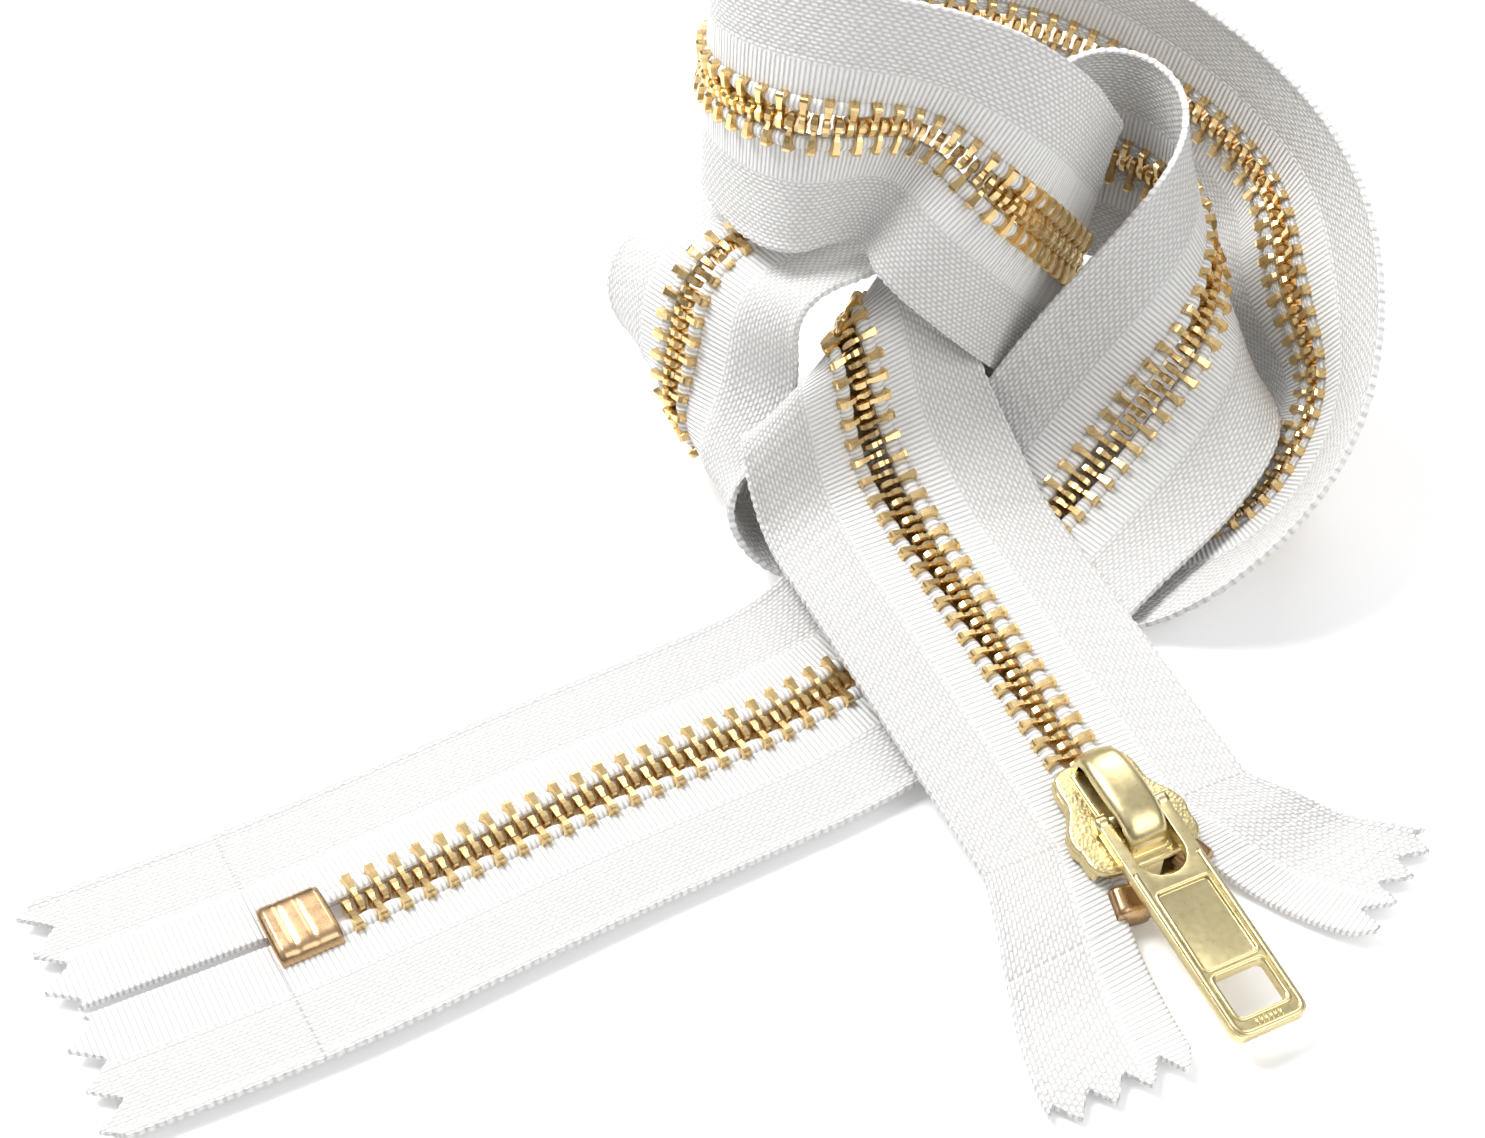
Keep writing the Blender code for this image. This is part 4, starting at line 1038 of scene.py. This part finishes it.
# left half of the plates, x and y
PLATE_HALF = [(-6.4, 0.0), (-6.4, 2.6), (-5.9, 3.9), (-4.2, 4.35), (-2.4, 4.3), (-1.2, 4.9),
              (0.2, 5.9), (1.8, 6.3), (3.0, 5.9), (4.3, 6.0), (5.4, 5.6), (6.1, 4.4),
              (6.3, 2.6), (6.4, 0.0)]
# left side rail, x and y: inner side, then outer side
RAIL = [(-5.9, 3.35), (-1.6, 3.4), (0.4, 4.6), (2.6, 5.3), (5.2, 5.0),
        (5.2, 5.75), (4.2, 6.0), (3.0, 5.95), (1.8, 6.35), (0.2, 5.95), (-1.2, 4.95),
        (-2.4, 4.4), (-4.2, 4.45), (-5.8, 4.0)]
POST = [(3.0, -0.25), (4.2, -0.85), (6.2, -1.3), (6.2, 1.3), (4.2, 0.85), (3.0, 0.25)]
SADDLE = [(5.6, -2.5), (5.6, 2.5), (-5.6, 2.5), (-5.6, -2.5)]
# arch of the crown, x and z: outside, then inside
CROWN_OUT = [(-6.1, 2.6), (-6.2, 3.6), (-5.9, 4.6), (-5.2, 5.4), (-4.0, 5.95), (-2.2, 6.2),
             (0.0, 6.25), (2.2, 6.15), (3.8, 5.7), (4.8, 4.9), (5.3, 3.9), (5.4, 2.6)]
CROWN_IN = [(3.9, 2.6), (3.8, 3.8), (3.2, 4.6), (2.0, 4.9),
            (-3.6, 4.9), (-4.4, 4.5), (-4.7, 3.6), (-4.7, 2.6)]


def slider_piece(name, geometry, material, bevel_width, node=None):
    ob = face_outwards(mesh(name, *geometry, material))
    bevel(ob, bevel_width)
    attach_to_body(ob, "slider")
    if node:
        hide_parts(node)


def plates():
    outline = PLATE_HALF + [(x, -y) for x, y in reversed(PLATE_HALF[1:-1])]
    outline = rounded(outline, 0.9, 4)[::-1]
    low, high = PLATE_Z
    slider_piece("slider_top_plate", prism(outline, low, high), CAST, 0.32, "slider_body")
    slider_piece("slider_bottom_plate", prism(outline, -high, -low), CAST, 0.32)


def rails():
    low, high = RAIL_Z
    for k, (side, z0, z1) in enumerate(((1, low, high), (-1, low, high),
                                        (1, -high, -low), (-1, -high, -low))):
        outline = [(x, side * y) for x, y in RAIL][::side]
        slider_piece("slider_rail_%d" % k, prism(outline, z0, z1), CAST, 0.22)


def crown():
    """Domed arch, lofted across so that its back is rounded."""
    section = CROWN_OUT + CROWN_IN
    n = len(section)
    stations = np.linspace(-1, 1, 13)
    points, faces = [], []
    for y in stations:
        drop = 0.715 * (1 - math.sqrt(max(0, 1 - abs(y) ** 3.2)))
        for k, (x, z) in enumerate(section):
            outer = k < len(CROWN_OUT)
            half_width = 2.35 - 0.25 * (x / 6.0) ** 2
            points.append(local(x * (1 - 0.05 * abs(y) ** 4 * outer), y * half_width,
                                z - drop * (outer and z > 4.0)))
    last = (len(stations) - 1) * n
    for i in range(0, last, n):
        for k in range(n):
            after = (k + 1) % n
            faces.append((i + k, i + after, i + n + after, i + n + k))
    faces += [tuple(range(n)), tuple(range(last + n - 1, last - 1, -1))]
    slider_piece("crown_arch", (points, faces), SATIN, 0.28, "slider_crown")


plates()
rails()
slider_piece("slider_post", prism(POST, -1.6, 1.6), SATIN, 0.15)
# raised block the crown stands on
slider_piece("slider_saddle", prism(rounded(SADDLE, 0.8), 2.3, 2.75), SATIN, 0.2)
crown()
for name in ("lock_spring", "lock_pin"):
    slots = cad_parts[name].data.materials
    slots.clear()
    slots.append(STEEL)

# ---- pull tab --------------------------------------------------------------------
# Outlines are x and y from the pivot, x towards the tab's free end.
PIVOT_X, PIVOT_Z = 1.6, 3.75
SLOPE = math.radians(3.0)
TAB_HALF, PANEL_FLOOR = 0.62, 0.22            # half thicknesses of the plate and panel
FORK_X, FORK_R = 5.0, 2.55                    # round end of the opening at the pivot
WINDOW_X, PANEL_X = (18.6, 23.0), (9.0, 17.6)
TAB = rounded([(-0.85, -3.8), (7.5, -3.85), (24.9, -3.85),
               (24.9, 3.85), (7.5, 3.85), (-0.85, 3.8)], 1.3, 7)
FORK = [(-2.6, -FORK_R), (FORK_X, -FORK_R)]
FORK += [(FORK_X + FORK_R * math.cos(math.radians(a)), FORK_R * math.sin(math.radians(a)))
         for a in range(-75, 76, 15)]
FORK += [(FORK_X, FORK_R), (-2.6, FORK_R)]
WINDOW = rounded([(WINDOW_X[0], -2.6), (WINDOW_X[1], -2.6),
                  (WINDOW_X[1], 2.6), (WINDOW_X[0], 2.6)], 0.6, 4)
PANEL = rounded([(PANEL_X[0], -2.75), (PANEL_X[1], -2.85),
                 (PANEL_X[1], 2.85), (PANEL_X[0], 2.75)], 0.5, 4)


def on_tab(x, y, z):
    cos, sin = math.cos(SLOPE), math.sin(SLOPE)
    return local(PIVOT_X + x * cos + z * sin, y, PIVOT_Z - x * sin + z * cos)


def tab_plate():
    ob = face_outwards(mesh("tab_plate", *prism(TAB, -TAB_HALF, TAB_HALF, on_tab), SATIN))
    cuts = ((FORK, -1.5, 1.5), (WINDOW, -1.5, 1.5),
            (PANEL, PANEL_FLOOR, 1.5), (PANEL, -1.5, -PANEL_FLOOR))
    cut(ob, [prism(*shape, on_tab) for shape in cuts])
    bevel(ob, 0.2)
    attach(ob, "pull", "pull_tab")


def bead(name, path, radius, closed=False, around=8):
    """Round bead swept along points of the tab."""
    centre = np.array([on_tab(*p) for p in path])
    n = len(centre)
    points, faces = [], []
    for i in range(n):
        after = (i + 1) % n if closed else min(i + 1, n - 1)
        before = i - 1 if closed else max(i - 1, 0)
        heading = unit(centre[after] - centre[before])
        level = unit(np.cross(heading, FACE))
        rise = np.cross(level, heading)
        for q in range(around):
            angle = 2 * math.pi * q / around
            ray = level * math.cos(angle) + rise * math.sin(angle)
            points.append(centre[i] + radius * ray)
    for i in range(n if closed else n - 1):
        here, there = i * around, (i + 1) % n * around
        for q in range(around):
            r = (q + 1) % around
            faces.append((here + q, here + r, there + r, there + q))
    if not closed:
        faces += [tuple(range(around))[::-1],
                  tuple((n - 1) * around + q for q in range(around))]
    attach(face_outwards(mesh(name, points, faces, SATIN)), "pull")


def rim(name, outline, ends, grow_x, grow_y, radius):
    """Closed bead around an opening that lies between two x values."""
    mid = sum(ends) / 2
    bead(name, [(mid + (x - mid) * grow_x, y * grow_y, 0.50) for x, y in outline],
         radius, closed=True)


tab_plate()
bead("tab_rim", [(x * 0.985 + 0.15, y * 0.9, 0.52) for x, y in TAB if x > 1.0], 0.34)
rim("tab_window_rim", WINDOW, WINDOW_X, 1.12, 1.1, 0.26)
rim("tab_panel_rim", PANEL, PANEL_X, 1.04, 1.04, 0.22)
bead("tab_bar", [(0, y, 0) for y in (-3.0, -1.5, 0, 1.5, 3.0)], 0.5)
for k in range(6):
    y = -1.25 + 0.5 * k
    bead("tab_grip_%d" % k, [(23.6, y, 0.62), (24.5, y, 0.55)], 0.16)
for letter, side in (("r", -1), ("l", 1)):
    path = [(0, side * y, 0) for y in (2.6, 3.0, 3.5, 3.85)]
    bead("tab_knuckle_" + letter, path, 0.85, around=14)

# ---- setting, in metres ----------------------------------------------------------
scene = bpy.context.scene
SHIFT_M = Vector(SHIFT / 1000.0)


def make_floor():
    data = bpy.data.meshes.new("floor")
    corners = ((-1.5, -1.2), (1.5, -1.2), (1.5, 2.2), (-1.5, 2.2))
    data.from_pydata([(x, y, SHIFT[2] / 1000.0) for x, y in corners], [], [(0, 1, 2, 3)])
    ob = bpy.data.objects.new("floor", data)
    scene.collection.objects.link(ob)
    material, tree, shader = new_material("pale_floor")
    wire(tree, shader, {
        "Base Color": (0.90, 0.90, 0.905, 1),
        "Roughness": 0.75,
        "Specular IOR Level": 0.15,
        # the floor glows faintly: painted light that lifts the shadows on it
        "Emission Color": (1, 1, 1, 1),
        "Emission Strength": 0.16,
    })
    data.materials.append(material)
    ob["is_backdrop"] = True


def make_world():
    """Studio light graded from a dark floor to a bright ceiling."""
    world = bpy.data.worlds.new("studio")
    scene.world = world
    world.use_nodes = True
    tree = world.node_tree
    place = add_node(tree, "TexCoord").outputs["Generated"]
    up = add_node(tree, "SeparateXYZ", {0: place}).outputs[2]
    ramp = add_node(tree, "ValToRGB", {0: up})
    stops = ramp.color_ramp.elements
    stops[0].color = (0.22, 0.21, 0.20, 1)
    stops[1].color = (0.95, 0.96, 0.98, 1)
    stops.new(0.42).color = (0.42, 0.41, 0.40, 1)
    stops.new(0.62).color = (0.88, 0.88, 0.88, 1)
    studio = tree.nodes["Background"]
    wire(tree, studio, {"Color": ramp.outputs[0], "Strength": 0.62})
    # straight views past the floor's edge see a pale backdrop
    pale = add_node(tree, "Background", {"Color": (0.9, 0.9, 0.9, 1), "Strength": 1.0})
    straight = add_node(tree, "LightPath").outputs["Is Camera Ray"]
    mix = add_node(tree, "MixShader", {0: straight, 1: studio.outputs[0], 2: pale.outputs[0]})
    wire(tree, tree.nodes["World Output"], {"Surface": mix.outputs[0]})


def area_light(name, place, aim, size, power):
    light = bpy.data.lights.new(name, "AREA")
    light.shape, light.size, light.energy = "DISK", size, power
    ob = bpy.data.objects.new(name, light)
    ob.location = Vector(place) + SHIFT_M
    ob.rotation_euler = (Vector(aim) - Vector(place)).to_track_quat("-Z", "Y").to_euler()
    scene.collection.objects.link(ob)


def make_camera():
    """Looks along +y and down at the pile's origin."""
    distance, elevation = 0.300, math.radians(45)
    camera = bpy.data.cameras.new("camera")
    ob = bpy.data.objects.new("camera", camera)
    scene.collection.objects.link(ob)
    camera.sensor_width = 36.0
    camera.lens = 69.0909091
    camera.clip_start = 0.005
    ob.location = SHIFT_M + Vector(
        (0, -distance * math.cos(elevation), distance * math.sin(elevation)))
    ob.rotation_euler = (math.radians(90) - elevation, 0, 0)
    scene.camera = ob


make_floor()
scene.view_settings.view_transform = "Standard"
make_world()
area_light("key", place=(-0.40, 0.22, 0.70), aim=(0.01, 0, 0.01), size=0.45, power=8.2)
area_light("fill", place=(0.55, -0.45, 0.6), aim=(0, 0, 0.01), size=0.8, power=3.4)
area_light("back", place=(0.1, 0.8, 0.6), aim=(0, 0, 0.02), size=0.6, power=3.2)
make_camera()

SIZES["with_looks"] = flat_bounds()
